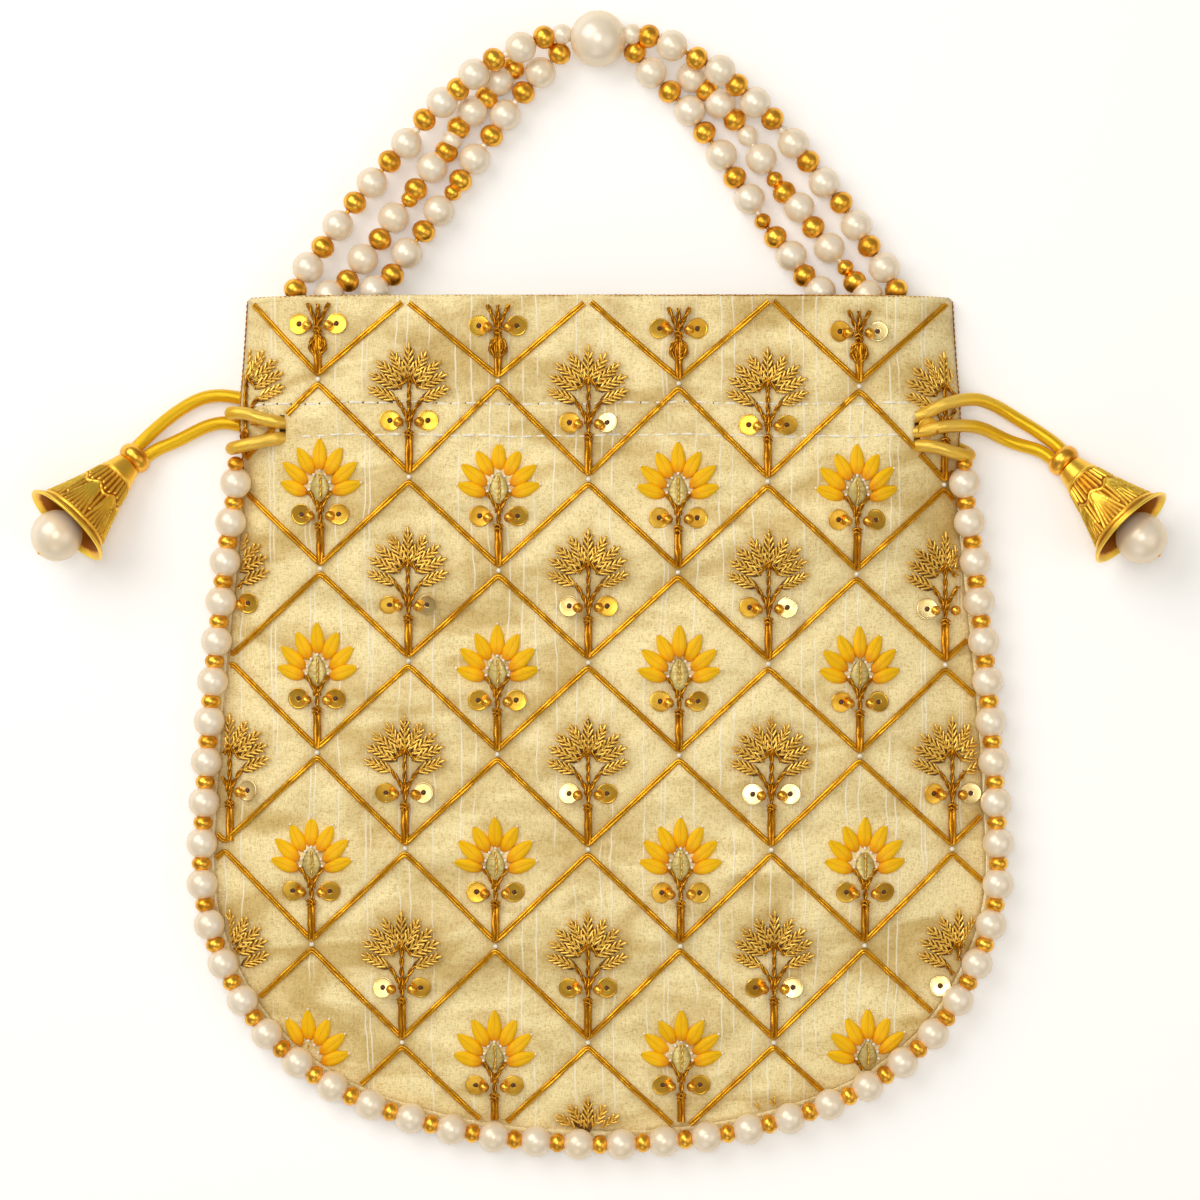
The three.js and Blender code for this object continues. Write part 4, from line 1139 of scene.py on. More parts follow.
# Drawstrings: the free stretches of the solids' cords, from the slits outwards
FREE_CORDS = {
    "cord_right_upper": [
        (76.8, 41.9, 10.7), (78.6, 41.9, 11.6), (81, 42.9, 13.6), (84.2, 44.6, 13.4), (87.5, 45.9, 12),
        (90.6, 46.4, 10.4), (94, 46.8, 8), (97.5, 45.9, 5.4), (100.5, 44.6, 3.6), (104.5, 42.2, 2.2),
        (109.2, 39.4, 1.8), (112.6, 37.1, 2.1), (114.7, 35.5, 2.7), (116.3, 33.8, 3.3)],
    "cord_right_lower": [
        (76.8, 38.3, 10.7), (78.6, 38.3, 11.6), (81, 38.7, 13.5), (84.2, 39.5, 13.4), (87.5, 39.9, 12),
        (90.8, 40, 10.3), (94.5, 39.8, 7.6), (98, 38.6, 4.8), (101.5, 36.9, 2.8), (105, 35.6, 2),
        (108.2, 34.8, 1.8), (110.6, 34.2, 2.1), (112.3, 33.1, 2.7), (113.9, 31.5, 3.3)],
    "cord_right_wrap": [
        (76.8, 34.9, 10.4), (78.6, 34.9, 11.3), (81, 34.9, 13.2), (84.2, 34.4, 13), (87.6, 33.4, 11.8),
        (90.6, 32.7, 9.6), (92.4, 32.7, 6.6), (91.7, 33.6, 3.8), (89.6, 34.6, 2.4), (87.6, 35.4, 2.8),
        (86.2, 35.8, 4.6), (85.9, 35.9, 6.6)],
    "cord_left_upper": [
        (-85.8, 46.5, 7), (-86.1, 46.5, 5), (-87.2, 46.7, 3), (-89.6, 47.1, 1.8), (-95, 48, 1.6),
        (-98.2, 47.8, 1.6), (-101.4, 46.8, 1.6), (-107.2, 43.2, 1.7), (-111.6, 39.6, 1.9),
        (-115.2, 36.1, 2.6), (-116.9, 34.3, 3.3)],
    "cord_left_lower": [
        (-85.8, 39.5, 7.4), (-86.1, 39.5, 5.2), (-87.2, 39.7, 3), (-89.8, 40.2, 1.8), (-94.5, 41.3, 1.6),
        (-99, 40.2, 1.6), (-103, 38.2, 1.6), (-106.8, 36.2, 1.7), (-110.4, 34.8, 2),
        (-112.8, 33.6, 2.6), (-114.4, 32, 3.3)],
    "cord_left_upper_wrap": [
        (-76.8, 40.6, 10.7), (-78.6, 40.6, 11.6), (-81, 40.9, 13.5), (-84.2, 41.6, 13.5), (-87.6, 42.8, 12.4),
        (-90.6, 43.2, 10.4), (-92.3, 43.2, 7.6), (-91.4, 43.1, 4.6), (-89.6, 43.1, 3), (-87.6, 43.1, 3.2),
        (-86.2, 43.1, 5), (-85.9, 43.1, 7.2)],
    "cord_left_lower_wrap": [
        (-76.8, 36.8, 10.5), (-78.6, 36.8, 11.4), (-81, 36.6, 13.3), (-84.2, 36, 13.2), (-87.6, 35.3, 12),
        (-90.6, 34.6, 9.8), (-92.1, 34.4, 7), (-91.4, 34.8, 4.2), (-89.6, 35.2, 2.8), (-87.6, 35.6, 2.9),
        (-86.2, 35.8, 4.6), (-85.9, 35.9, 6.6)],
}

# Tassels
RING, RING_THICK = 8.5, 3.5
BELL_LENGTH, BELL_MOUTH, BELL_NECK, BELL_WALL = 22.4, 24.0, 7.0, 0.9
TASSEL_PEARL, TASSEL_PEARL_OUT = 12.8, 3.4
RING_PLACES = {"left": (-117.0, 31.8), "right": (116.5, 31.2)}
TASSEL_SLANT = math.radians(46.5)


def tassel_matrix(side):
    """Place of a tassel: Z runs from its collar to its pearl, and both ends rest on the floor."""
    heading = math.pi + TASSEL_SLANT if side == "left" else -TASSEL_SLANT
    mouth_at = RING_THICK / 2 + CLEARANCE + BELL_LENGTH
    tilt = math.atan((BELL_MOUTH - RING) / 2 / mouth_at)
    axis = (math.cos(heading) * math.cos(tilt), math.sin(heading) * math.cos(tilt), math.sin(tilt))
    height = RING / 2 * math.cos(tilt) + BELL_WALL * math.sin(tilt)
    return Matrix.Translation((*RING_PLACES[side], height)) @ turn_to(axis).to_4x4()


def moved(points, matrix):
    return [tuple(matrix @ Vector(point)) for point in points]


# Operators

class POTLI_OT_stage(bpy.types.Operator):
    """Floor, soft light and a camera looking straight down"""
    bl_idname = "potli.stage"
    bl_label = "Stage"

    def execute(self, context):
        scene = context.scene
        scene.view_settings.view_transform = "Standard"
        self.camera(scene)
        self.light(scene)
        self.floor()
        return {"FINISHED"}

    @staticmethod
    def camera(scene):
        camera = bpy.data.cameras.new("Camera")
        camera.lens, camera.sensor_width = 130, 36
        camera.clip_end = 20
        viewer = bpy.data.objects.new("Camera", camera)
        frame_width, frame_middle, focus_height = 0.3, -0.0035, 0.008
        distance = frame_width * camera.lens / camera.sensor_width
        viewer.location = (0, frame_middle, focus_height + distance)
        scene.collection.objects.link(viewer)
        scene.camera = viewer

    @staticmethod
    def light(scene):
        world = bpy.data.worlds.new("Studio")
        world.use_nodes = True
        colour, strength = world.node_tree.nodes["Background"].inputs[:2]
        feed(colour, (1.0, 0.88, 0.7, 1))
        feed(strength, 0.32)
        scene.world = world
        # Name, place, width and power of each lamp; all look at the bag
        lamps = (("Top", (-0.05, 0.08, 1.35), 0.55, 4.6), ("Key", (-0.68, 0.6, 0.85), 0.95, 8.4),
                 ("Fill", (0.75, -0.2, 0.8), 0.8, 1.8), ("Low", (-0.1, -0.9, 0.55), 0.6, 0.9))
        for name, place_at, size, power in lamps:
            light = bpy.data.lights.new(name, "AREA")
            light.size, light.energy = size, power
            lamp = bpy.data.objects.new(name, light)
            lamp.location = place_at
            lamp.rotation_euler = (-Vector(place_at)).to_track_quat("-Z", "Y").to_euler()
            scene.collection.objects.link(lamp)

    @staticmethod
    def floor():
        """A plain pale floor, a little whiter to the eye than it lights the bag."""
        sockets, add = start_finish("floor", (0.93, 0.93, 0.925), 0.9)
        grain = noise_at(add, (3, 3, 3))
        feed(sockets["Base Color"], patched(add, grain, 0.3, 0.7, (0.925, 0.925, 0.92), (0.935, 0.935, 0.93)))
        rays = add("ShaderNodeLightPath").outputs
        seen = math_node(add, "MAXIMUM", rays["Is Camera Ray"],
                         math_node(add, "MAXIMUM", rays["Is Glossy Ray"], rays["Is Transmission Ray"]))
        feed(sockets["Emission Color"], (1, 1, 1, 1))
        feed(sockets["Emission Strength"], math_node(add, "MULTIPLY", seen, 0.14))
        reach, low = 6000, -0.15
        corners = [(-reach, -reach, low), (reach, -reach, low), (reach, reach, low), (-reach, reach, low)]
        made("floor", corners, [(0, 1, 2, 3)], "floor")


class POTLI_OT_finishes(bpy.types.Operator):
    """Silk, thread, pearl and metal finishes, and the rules for what repeats"""
    bl_idname = "potli.finishes"
    bl_label = "Finishes"

    def execute(self, context):
        tone = colours()
        silk_finish("silk", tuple(tone.silk), tuple(tone.slub))
        plain_weave_finish("lining", tuple(tone.lining))
        thread_finish("lattice", tuple(tone.lattice), 0.26, 0.85)
        thread_finish("stem", tinted(tone.lattice, (0.86, 0.75, 0.6)), 0.26, 0.85)
        thread_finish("bullion", tuple(tone.sprig), 0.3, 0.8, (900, 900, 900), (0.9, 0.84, 0.7))
        # Painted shade: colour of the dark pads under the sprig leaves.
        thread_finish("painted_shade_pad", srgb(126, 84, 22), 0.6, 0.2)
        petal_finish("petal", tuple(tone.petal), tuple(tone.heart))
        thread_finish("leaf", tuple(tone.leaf), 0.42, 0.4, (700, 1800, 700))
        pearl_finish("pearl", tuple(tone.pearl))
        metal_finish("gold", tuple(tone.gold), 0.27)
        metal_finish("sequin", srgb(244, 196, 76), 0.24)
        # Painted glint: a paler copy of the sequin metal, for the tilted sequins.
        metal_finish("sequin_painted_glint", srgb(255, 232, 168), 0.24)
        engraved_finish("bell", tuple(tone.bell), srgb(164, 96, 24))
        # The last colour is painted light that the silk throws on the cord.
        satin_cord_finish("drawstring", tuple(tone.cord), srgb(244, 208, 112))
        plain_weave_finish("stitch_thread", srgb(255, 250, 232))
        # Dark thread, also used as painted shade for the sequin holes and the stitch holes.
        plain_weave_finish("dark_thread_and_hole_shade", srgb(92, 52, 16))
        TREES.update(placed=placed_pieces_tree(), stitched=running_stitch_tree(),
                     twisted=two_ply_tree("Twisted cord", False), couched=two_ply_tree("Couched cord", True))
        return {"FINISHED"}


class POTLI_OT_tassels(bpy.types.Operator):
    """Collar, engraved bell and pearl at the end of each pair of cords"""
    bl_idname = "potli.tassels"
    bl_label = "Tassels"

    def execute(self, context):
        for side in SIDES:
            matrix = tassel_matrix(side)
            self.collar(side, matrix)
            self.bell(side, matrix)
            self.pearl(side, matrix)
            dress(f"tassel_pin_{side}", "gold")
        return {"FINISHED"}

    @staticmethod
    def collar(side, matrix):
        """A thick ring with a sunk disc over and under its middle, drawn out a little towards the cords."""
        thick, wide, low = RING_THICK / 2, RING / 2 - RING_THICK / 2, 0.4
        disc = wide * 0.45
        profile = [(0, -low - 1), (disc, -low - 1.2), *arc(thick, thick + low, 18, wide=wide, middle=-low),
                   (disc, 1.0), (0, 0.8)]
        points, faces = turned(profile, 40)
        piece = made(f"tassel_collar_{side}", moved(points, matrix), faces, "gold")
        for_nodes(piece, f"tassel_ring_{side}")

    def bell(self, side, matrix):
        around, rows = 224, 100
        start = RING_THICK / 2 + CLEARANCE
        mouth = BELL_MOUTH / 2
        lip_from = 0.93

        def flare(t):
            return BELL_NECK / 2 + (mouth - 1.0 - BELL_NECK / 2) * (0.8 * t + 0.2 * t**3)

        t = np.linspace(0, lip_from, rows)
        theta = np.linspace(0, FULL_TURN, around, endpoint=False)
        relief = self.engraving(t[:, None] * BELL_LENGTH, theta[None, :], flare(t)[:, None])
        radius = flare(t)[:, None] + 0.36 * relief - 0.12
        lip = [(mouth - 0.75, 0.945), (mouth - 0.95, 0.955), (mouth - 0.5, 0.962), (mouth - 0.12, 0.972),
               (mouth, 0.984), (mouth - 0.1, 0.995), (mouth - 0.45, 1.0), (mouth - 0.85, 0.995),
               (mouth - 1.1, 0.975)]
        inside = [(flare(h) - BELL_WALL, h) for h in np.linspace(lip_from, 0.13, 12)]
        rings = [*zip(radius, t), *((np.full(around, r), h) for r, h in lip + inside)]
        points = [(r * math.cos(a), r * math.sin(a), start + BELL_LENGTH * h)
                  for ring, h in rings for r, a in zip(ring, theta)]
        faces = [face[::-1] for face in capped_faces(len(rings), around)]
        piece = made(f"tassel_bell_cup_{side}", moved(points, matrix), faces, "bell")
        marks = np.r_[(0.5 + 0.5 * relief).ravel(), [0.75] * len(lip) * around, [0] * len(inside) * around]
        set_values(piece, "relief", marks)
        for_nodes(piece, f"tassel_bell_{side}")

    @staticmethod
    def engraving(height, theta, radius):
        """Relief of the bell from -1 to 1: upright bars, a scalloped border and a tier of veined fans."""
        def ridge(distance, width):
            return np.exp(-((distance / width) ** 2))

        def from_middle(count):
            step = FULL_TURN / count
            return ((theta + step / 2) % step - step / 2) * radius

        bars, fans = 26, 7
        foot, top = 4.2, BELL_LENGTH - 2.8
        border = 10.4 - 0.7 * np.cos(fans * theta)
        below_border = 1 - smoothstep(height - border, -1.1, -0.6)
        upright = ridge(from_middle(bars), 0.3) * smoothstep(height, foot + 0.4, foot + 1.0) * below_border
        way = np.clip((height - border) / (top - border), 0, 1)
        half = math.pi * radius / fans
        across = np.abs(from_middle(fans))
        veins = np.maximum(ridge(across, 0.28), ridge(half - across, 0.28) * (way < 0.7))
        for spread in (0.3, 0.58, 0.9):
            veins = np.maximum(veins, ridge(across - spread * half * way ** 0.5, 0.28))
        veins = np.maximum(veins, ridge(half - across - 0.5 * half * (1 - way) ** 0.8, 0.26) * (way < 0.6))
        veins = veins * smoothstep(way, 0.0, 0.06) * (1 - smoothstep(way, 0.94, 1))
        carved = smoothstep(height, foot, foot + 0.6) * (1 - smoothstep(height, top, top + 0.3))
        rings = sum(ridge(height - level, 0.3) for level in (foot, border, top + 0.2))
        groove = ridge(height - (BELL_LENGTH - 1.9), 0.35)
        lines = np.maximum(np.maximum(upright, veins), np.minimum(rings, 1))
        return np.clip(0.25 - 0.95 * carved + 1.6 * lines * np.maximum(carved, 0.4) - 0.9 * groove, -1, 1)

    @staticmethod
    def pearl(side, matrix):
        middle = RING_THICK / 2 + CLEARANCE + BELL_LENGTH + TASSEL_PEARL_OUT
        radius = TASSEL_PEARL / 2
        points, faces = turned(arc(radius, radius, 28, middle=middle), 44)
        for_nodes(made(f"tassel_drop_{side}", moved(points, matrix), faces, "pearl"), f"tassel_pearl_{side}")
        points, faces = turned(arc(0.5, 0.3, 7, middle=middle + radius - 0.02), 14)
        with_slot(made(f"tassel_pin_head_{side}", moved(points, matrix), faces, "gold"))


class POTLI_OT_drawstrings(bpy.types.Operator):
    """Satin cords that leave the channel, wrap its sides and carry the tassels"""
    bl_idname = "potli.drawstrings"
    bl_label = "Drawstrings"

    def execute(self, context):
        for name, route in FREE_CORDS.items():
            line = spaced(smooth_line(route), step=0.45)
            if not name.endswith("wrap"):
                self.ease(line)
            sides = 18
            points, faces, uv = tube(line, VISIBLE_CORD / 2, sides)
            piece = made(name.replace("cord", "drawstring"), points, faces, "drawstring", uv)
            # Painted light: paler where the cord lies on the silk, from the silk's reflected light.
            lit_by_silk = (1 - smoothstep(np.abs(line[:, 0]), 86, 94)) * smoothstep(line[:, 2], 7, 10)
            set_values(piece, "pale", np.repeat(0.5 * lit_by_silk, sides))
            for_nodes(piece, name)
        for run in ("front_upper", "front_lower", "back_upper", "back_lower"):
            dress(f"channel_cord_{run}", "drawstring")
        return {"FINISHED"}

    @staticmethod
    def ease(line, passes=40):
        """Takes the last kinks out of a long stretch, with its ends where they are."""
        for _ in range(passes):
            line[1:-1] = line[:-2] / 4 + line[1:-1] / 2 + line[2:] / 4

    @staticmethod
    def tassel(side):
        kinds = ("tassel_collar", "tassel_bell_cup", "tassel_drop", "tassel_pin_head")
        return [*(bpy.data.objects[f"{kind}_{side}"] for kind in kinds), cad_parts[f"tassel_pin_{side}"]]


class POTLI_OT_cloth(bpy.types.Operator):
    """Front, back and lining of the bag, with the rolled hem of the mouth"""
    bl_idname = "potli.cloth"
    bl_label = "Cloth"

    def execute(self, context):
        front = self.panel("front_cloth", "front_panel", cloth_top, 161, SLIT_X, SLITS, open_by=0.35)
        self.mark_painted_shade_near_gold(front)
        back = self.panel("back_cloth", "back_panel", self.back_top, 85, BACK_SLIT_X, BACK_SLITS, open_by=1.3)
        lining = self.lining()
        hem = self.hem()
        return {"FINISHED"}

    @staticmethod
    def mark_painted_shade_near_gold(front):
        """How much painted shade, tinted gold as painted reflection, each point of the front takes near the
        lattice and the stitched pieces.
        """
        points = np.zeros(len(front.data.vertices) * 3)
        front.data.vertices.foreach_get("co", points)
        points = points.reshape(-1, 3) / MM
        plan = whole_plan()
        spots = plan.barbs + plan.petals + plan.sequins + plan.glints + plan.leaves
        stitched = [point for point, _, _ in spots]
        stitched += [tuple(point) for line in plan.stems + plan.strokes for point in line[::2]]
        tree = KDTree(len(stitched))
        for index, (x, y, _) in enumerate(stitched):
            tree.insert((x, y, 0), index)
        tree.balance()
        away = np.array([tree.find((x, y, 0))[2] for x, y, _ in points])
        # Painted shade: strongest on the lattice lines and next to the stitched pieces, fading within a few
        # millimetres.
        shade = 0.3 * bump(lattice_distance(points[:, 0], points[:, 1]), 0, 1.7) + 0.42 * bump(away, 0, 2.3)
        set_values(front, "near_gold", np.minimum(shade, 0.5))

    @staticmethod
    def back_top(x, y):
        creases = 0.04 * (ripples(x + 40, y - 25) + 2.5)
        return back_height(x, y) + PANEL + creases * (1 - share(x, y) ** 8)

    @staticmethod
    def panel(name, node, height, columns, slit_x, slits, open_by):
        """A sheet of silk cut to the seam, with a slit on each side that stands open a little."""
        near_seam = [0, 0.05, 0.14, 0.28, 0.48, 0.75, 1.1, 1.55, 2.1, 2.8, 3.6, 4.5, 5.5, 6.6, 7.8]
        rows = BOTTOM_Y + np.r_[near_seam, np.linspace(9, MOUTH_Y - BOTTOM_Y, 184)]
        u = np.linspace(-1, 1, columns)
        x = u[None, :] * half_width(rows)[:, None]
        y = np.repeat(rows[:, None], columns, axis=1)
        cut = int(np.argmin(np.abs(u * half_width(CHANNEL_Y) - slit_x)))
        line_x = (u[cut] + u[cut - 1]) / 2 * half_width(y)
        cut_rows = {}
        for side, column in (("left", columns - 1 - cut), ("right", cut - 1)):
            middle, half = slits[side]
            opening = np.clip(1 - ((y - middle) / half) ** 2, 0, 1)
            away = x - (line_x if side == "right" else -line_x)
            x = x + np.sign(away) * open_by * opening * bump(away, 0, 3)
            cut_rows[column] = np.abs(rows - middle) < half - 0.6
        points = np.column_stack([x.ravel(), y.ravel(), height(x, y).ravel()])
        faces = []
        for face in grid_faces(len(rows), columns):
            row, column = divmod(face[0], columns)
            if column not in cut_rows or not cut_rows[column][row]:
                faces.append(face)
        piece = made(name, points, faces, "silk")
        thick = piece.modifiers.new("Thickness", "SOLIDIFY")
        thick.thickness, thick.offset = PANEL * MM, -1
        mesh = evaluated_mesh(piece)
        piece.modifiers.clear()
        piece.data = mesh
        return for_nodes(piece, node)

    @staticmethod
    def lining_gap(y):
        """Room between the panels and the lining, wider where the drawstrings run."""
        above = smoothstep(y, CHANNEL_LOW - CHANNEL_FADE, CHANNEL_LOW)
        below = 1 - smoothstep(y, CHANNEL_HIGH, CHANNEL_HIGH + CHANNEL_FADE)
        return LINING_GAP + (CORD_ROOM - LINING_GAP) * above * below

    def lining(self):
        """A pouch that follows both panels from inside, sewn up where they come too close for it."""
        def fold(y):
            return 2 * (PANEL + self.lining_gap(y) + LINING) + CLEARANCE

        floor = BOTTOM_Y
        while front_height(0, floor) < fold(floor) + LINING:
            floor += LINING
        rows, columns = 64, 41
        u = np.sin(np.linspace(-1, 1, columns) * math.pi / 2)
        loops = []
        for inward in (0.0, LINING):
            side_loops = []
            for y in np.linspace(floor + inward, MOUTH_Y, rows):
                seam = half_width(y) - LINING_INSET - CHANNEL_INSET * bump(y, CHANNEL_Y, EDGE_LIFT_REACH)
                while front_height(seam, y) - back_height(seam, y) < fold(y):
                    seam -= 0.1
                x, level = u * (seam - inward), np.full(columns, y)
                gap = PANEL + self.lining_gap(y) + inward
                crease = 0.12 * (1 - u**6) * np.sin(0.35 * x + 0.24 * y + np.sin(0.12 * y))
                top = np.column_stack([x, level, front_height(x, y) - gap + crease])
                low = np.column_stack([-x, level, back_height(x, y) + gap])
                side_loops.append(np.vstack([top, low]))
            loops.append(side_loops)
        rings = loops[0] + loops[1][::-1]
        faces = capped_faces(len(rings), len(rings[0]))
        return for_nodes(made("lining_pouch", np.vstack(rings), faces, "lining"), "lining")

    @staticmethod
    def hem():
        """The mouth's edge, rolled over the lining's, front and back."""
        count = 150
        x = np.linspace(-1, 1, count) * (half_width(MOUTH_Y) - 0.9)
        y = np.full(count, MOUTH_Y - 0.55)
        front = np.column_stack([x, y, cloth_top(x, y) - 0.95])
        back = np.column_stack([x, y, back_height(x, y) + 1.05])
        return with_slot(made("mouth_hem", *joined_tubes((front, back), 1.0, 14), "silk"))


class POTLI_OT_embroidery(bpy.types.Operator):
    """Lattice, sprigs, flowers and buds stitched on the front"""
    bl_idname = "potli.embroidery"
    bl_label = "Embroidery"

    def execute(self, context):
        plan = whole_plan()
        ply = in_mm(sizes().lattice_ply)
        for_nodes(twist("lattice_cords", lattice_lines(), ply, 17, "lattice", 7, "couched"),
                  *(f"gold_work_row_{i}" for i in range(1, 10)))
        self.threads(plan)
        for_nodes(place("flower_petals", pad_template("petal"), plan.petals, "petal"),
                  *(f"flower_{i:02d}" for i in range(1, 17)))
        self.small_pieces(plan)
        return {"FINISHED"}

    @staticmethod
    def threads(plan):
        for piece in (
                twist("motif_stems", plan.stems, 0.58, 9, "stem", 8, "couched"),
                twist("motif_branches", plan.strokes, 0.36, 5, "stem"),
                twist("sprig_veins", plan.veins, 0.22, 3, "bullion", 5),
                place("sprig_padding", pad_template("painted_shade_pad", 4, 6, 0), plan.pads, "painted_shade_pad"),
                place("sprig_bullion", capsule_template("bullion"), plan.barbs, "bullion")):
            with_slot(piece)

    @staticmethod
    def small_pieces(plan):
        sequin = sequin_template("sequin")
        for name, template, spots, finish, slot in (
                ("flower_leaves", pad_template("leaf", groove=0.35), plan.leaves, "leaf", "gold_thread"),
                ("sequins", sequin, plan.sequins, "sequin", "gold_metal"),
                ("bright_sequins", sequin, plan.glints, "sequin_painted_glint", "gold_metal"),
                ("sequin_knots", ball_template("knot", 5, 8), plan.knots, "dark_thread_and_hole_shade", "gold_thread"),
                ("motif_beads", ball_template("bead", 9, 14), plan.beads, "gold", "gold_metal"),
                ("petal_tips", ball_template("tip", 6, 8), plan.tips, "stitch_thread", "pearl")):
            with_slot(place(name, template, spots, finish))


class POTLI_OT_stitching(bpy.types.Operator):
    """Running stitches of the channel, seed beads at the crossings and the cord of the side edges"""
    bl_idname = "potli.stitching"
    bl_label = "Stitching"

    def execute(self, context):
        self.channel()
        self.crossings()
        self.edges()
        return {"FINISHED"}

    @staticmethod
    def channel():
        """Two rows of running stitches, and the holes that the upper row pulls in the silk, shown as small
        dark balls of painted shade.
        """
        lines = []
        for level, reach in ((HEADER_LINE, 85.5), (CHANNEL_STITCH, 73)):
            x = np.linspace(-reach, reach, 240)
            y = level + 0.25 * np.sin(0.09 * x) + 0.15 * np.sin(0.37 * x)
            lines.append(on_cloth(np.column_stack([x, y]), 0.12))
        step = 3.6
        one = stitch_template("stitch", 1.6, 0.3, 0.26)
        with_slot(stitch("channel_stitches", lines, step, one, "stitch_thread"))
        # Painted shade: dark balls between the upper stitches stand for the shade in the holes.
        between = [spaced(lines[0], step=step / 4)[2:]]
        hole = ball_template("hole", 5, 8, 0.25)
        with_slot(stitch("stitch_holes", between, step, hole, "dark_thread_and_hole_shade"))

    @staticmethod
    def crossings():
        seeds = []
        for row in range(1, LATTICE_ROWS):
            for column in range(-3, 4):
                x, y = crossing(row, column)
                if on_front(np.float64(x), np.float64(y), 3):
                    point = (x, y, float(cloth_top(x, y)) + CORD_LIFT)
                    seeds.append((point, (0, 0, 0), (CROSSING_SEED,) * 3))
        with_slot(place("crossing_beads", ball_template("seed", 6, 10), seeds, "stitch_thread"))

    @staticmethod
    def edges():
        """A thin cord up both side edges over the edging, and along the mouth."""
        y = np.linspace(28, MOUTH_Y - 0.4, 80)
        lines = [np.column_stack([side * (half_width(y) + 0.15), y, seam_top(y) - 0.9]) for side in (-1, 1)]
        reach = half_width(MOUTH_Y) - 1
        x = np.linspace(-reach, reach, 160)
        y = np.full(160, MOUTH_Y + 0.1)
        lines.append(np.column_stack([x, y, cloth_top(x, y) - 0.35]))
        with_slot(twist("edge_cords", lines, 0.22, 3, "stem"))


class POTLI_OT_edging(bpy.types.Operator):
    """Pearls and gold beads strung round the edge, on the rolled seam"""
    bl_idname = "potli.edging"
    bl_label = "Edging"

    def execute(self, context):
        line = beside_seam(EDGE_OUT, EDGE_UP)
        drawn_in = smoothstep(line[:, 1], 6, 28)
        line[:, 0] -= EDGE_DRAWN_IN * np.sign(line[:, 0]) * drawn_in
        line[:, 2] += EDGE_DRAWN_UP * drawn_in
        length = line_length(line)[-1]
        pearl, gold = in_mm(sizes().edge_pearl) / 2, in_mm(sizes().edge_gold) / 2
        shares = np.arange(2 * EDGE_PEARLS - 1) / (2 * EDGE_PEARLS - 2) - 0.5
        stations = length / 2 + (length - 2 * pearl) * (shares + EDGE_UNEVEN * np.sin(FULL_TURN * shares))
        spots = beads_along(line, stations[::2], pearl)
        for_nodes(place("edge_pearls", pearl_template("pearl"), spots, "pearl"), "edge_pearl_strand")
        spots = beads_along(line, stations[1::2], gold)
        for end, inner in ((line[0], line[4]), (line[-1], line[-5])):
            way = (end - inner) / np.linalg.norm(end - inner)
            spots.append(bead_spot(end + way * 1.2, way, EDGE_END_BEAD))
        rondelle = round_bead_template("rondelle", 0.84)
        with_slot(place("edge_gold_beads", rondelle, spots, "gold"))
        points, faces, uv = tube(line[::4], STRAND_THREAD, 8)
        with_slot(made("edge_thread", points, faces, "stem", uv))
        points, faces, _ = tube(beside_seam(0.4, -1.05)[::2], 1.1, 10)
        with_slot(made("seam_roll", points, faces, "silk"))
        return {"FINISHED"}


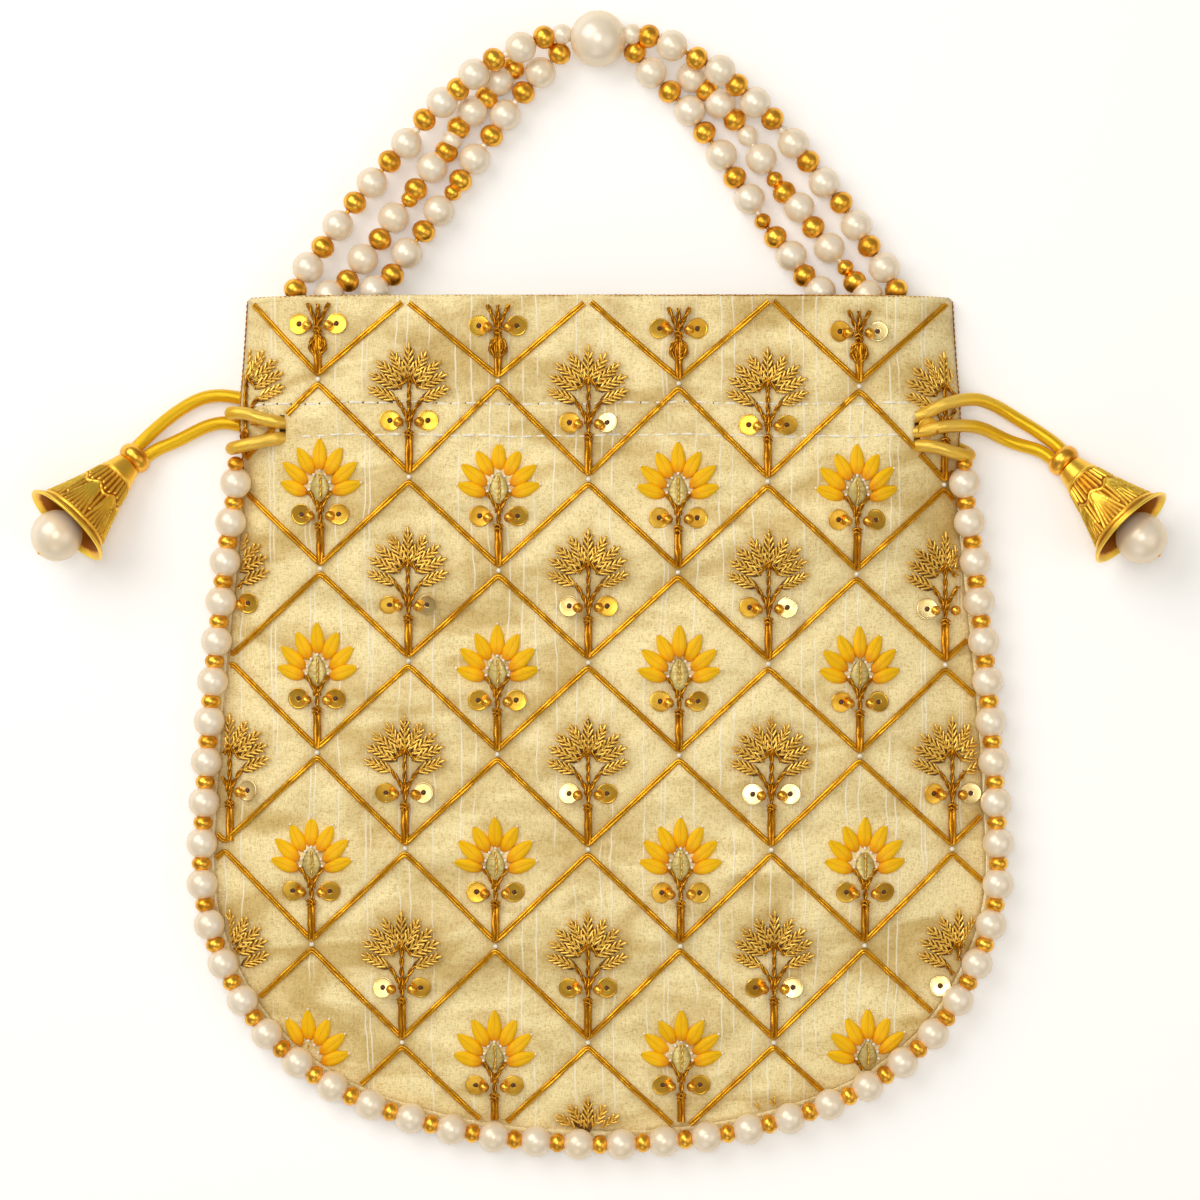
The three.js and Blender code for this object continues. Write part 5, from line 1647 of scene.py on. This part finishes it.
class POTLI_OT_handle(bpy.types.Operator):
    """Three bead strands a side and the grip pearl"""
    bl_idname = "potli.handle"
    bl_label = "Handle"

    def execute(self, context):
        pearl, gold = in_mm(sizes().handle_pearl) / 2, in_mm(sizes().handle_gold) / 2
        radius = {"p": pearl, "s": pearl * SMALL_PEARL, "g": gold, "l": gold * LIGHT_GOLD}
        spots = {"pearl": [], "gold": []}
        threads, seeds = [], []
        for (name, side), words in STRAND_BEADS.items():
            kinds, line = self.strand(words, STRAND_HEIGHTS[name])
            for kind, point, heading in zip(kinds, line, np.gradient(line, axis=0)):
                spots["pearl" if kind in "ps" else "gold"].append(bead_spot(point, heading, radius[kind]))
            seeds += self.fillers(line, [radius[kind] for kind in kinds])
            end = [GRIP_PLACE] if name == "outer" else []
            threads.append(spaced(smooth_line(np.vstack([line, *end])), step=1.2))
        pearls = place("handle_pearls", pearl_template("pearl"), spots["pearl"], "pearl")
        golds = place("handle_gold_beads", round_bead_template("bead", 0.92), spots["gold"], "gold")
        fillers = place("handle_seeds", ball_template("seed", 8, 12), seeds, "pearl")
        grip = self.grip()
        thread = made("handle_threads", *joined_tubes(threads, STRAND_THREAD, 8), "stem")
        for piece in (pearls, golds, fillers, grip, thread):
            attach(piece, HANDLE)
        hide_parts(*(f"handle_strand_{name}_{side}" for name, side in STRAND_BEADS))
        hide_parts("grip_pearl")
        return {"FINISHED"}

    @staticmethod
    def strand(words, heights):
        """Kinds and places of a strand's beads, from the mouth up."""
        beads = [(word[0], *(float(v) for v in word[1:].split(","))) for word in words.split()]
        line = np.array([(x, y, np.interp(y, *zip(*heights))) for _, x, y in beads])
        return [kind for kind, _, _ in beads], line

    @staticmethod
    def fillers(line, radii):
        """Seed beads where two beads of a strand stand apart."""
        seeds = []
        for a, b, before, after in zip(line, line[1:], radii, radii[1:]):
            apart = np.linalg.norm(b - a)
            gap = apart - before - after
            if gap > 0.3:
                middle = a + (b - a) * (before + gap / 2) / apart
                seeds.append(bead_spot(middle, b - a, min(0.8 + gap / 3, 1.3)))
        return seeds

    @staticmethod
    def grip():
        """The large pearl, with its bore along X."""
        radius, bore = in_mm(sizes().grip_pearl) / 2, 0.5
        profile = [(bore, -radius * 0.9), *arc(radius, radius, 32, -84, 84), (bore, radius * 0.9)]
        points, faces = turned(profile, 52, closed=True)
        x, y, z = GRIP_PLACE
        return made("grip_ball", [(c + x, a + y, b + z) for a, b, c in points], faces, "pearl")


class POTLI_PT_panel(bpy.types.Panel):
    """The steps that build the bag"""
    bl_idname = "POTLI_PT_panel"
    bl_label = "Potli Bag"
    bl_space_type = "VIEW_3D"
    bl_region_type = "UI"
    bl_category = "Potli Bag"

    def draw(self, context):
        for step in STEPS:
            self.layout.operator(step.bl_idname)
        for group in (context.scene.potli_colours, context.scene.potli_sizes):
            for key in group.__annotations__:
                self.layout.prop(group, key)


STEPS = (POTLI_OT_stage, POTLI_OT_finishes, POTLI_OT_tassels, POTLI_OT_drawstrings, POTLI_OT_cloth,
         POTLI_OT_embroidery, POTLI_OT_stitching, POTLI_OT_edging, POTLI_OT_handle)
CLASSES = (PotliColours, PotliSizes, *STEPS, POTLI_PT_panel)


def register():
    for each in CLASSES:
        bpy.utils.register_class(each)
    bpy.types.Scene.potli_colours = bpy.props.PointerProperty(type=PotliColours)
    bpy.types.Scene.potli_sizes = bpy.props.PointerProperty(type=PotliSizes)


def unregister():
    del bpy.types.Scene.potli_sizes
    del bpy.types.Scene.potli_colours
    for each in reversed(CLASSES):
        bpy.utils.unregister_class(each)


def main():
    register()
    for step in STEPS:
        family, action = step.bl_idname.split(".")
        getattr(getattr(bpy.ops, family), action)()


if __name__ == "__main__":
    main()
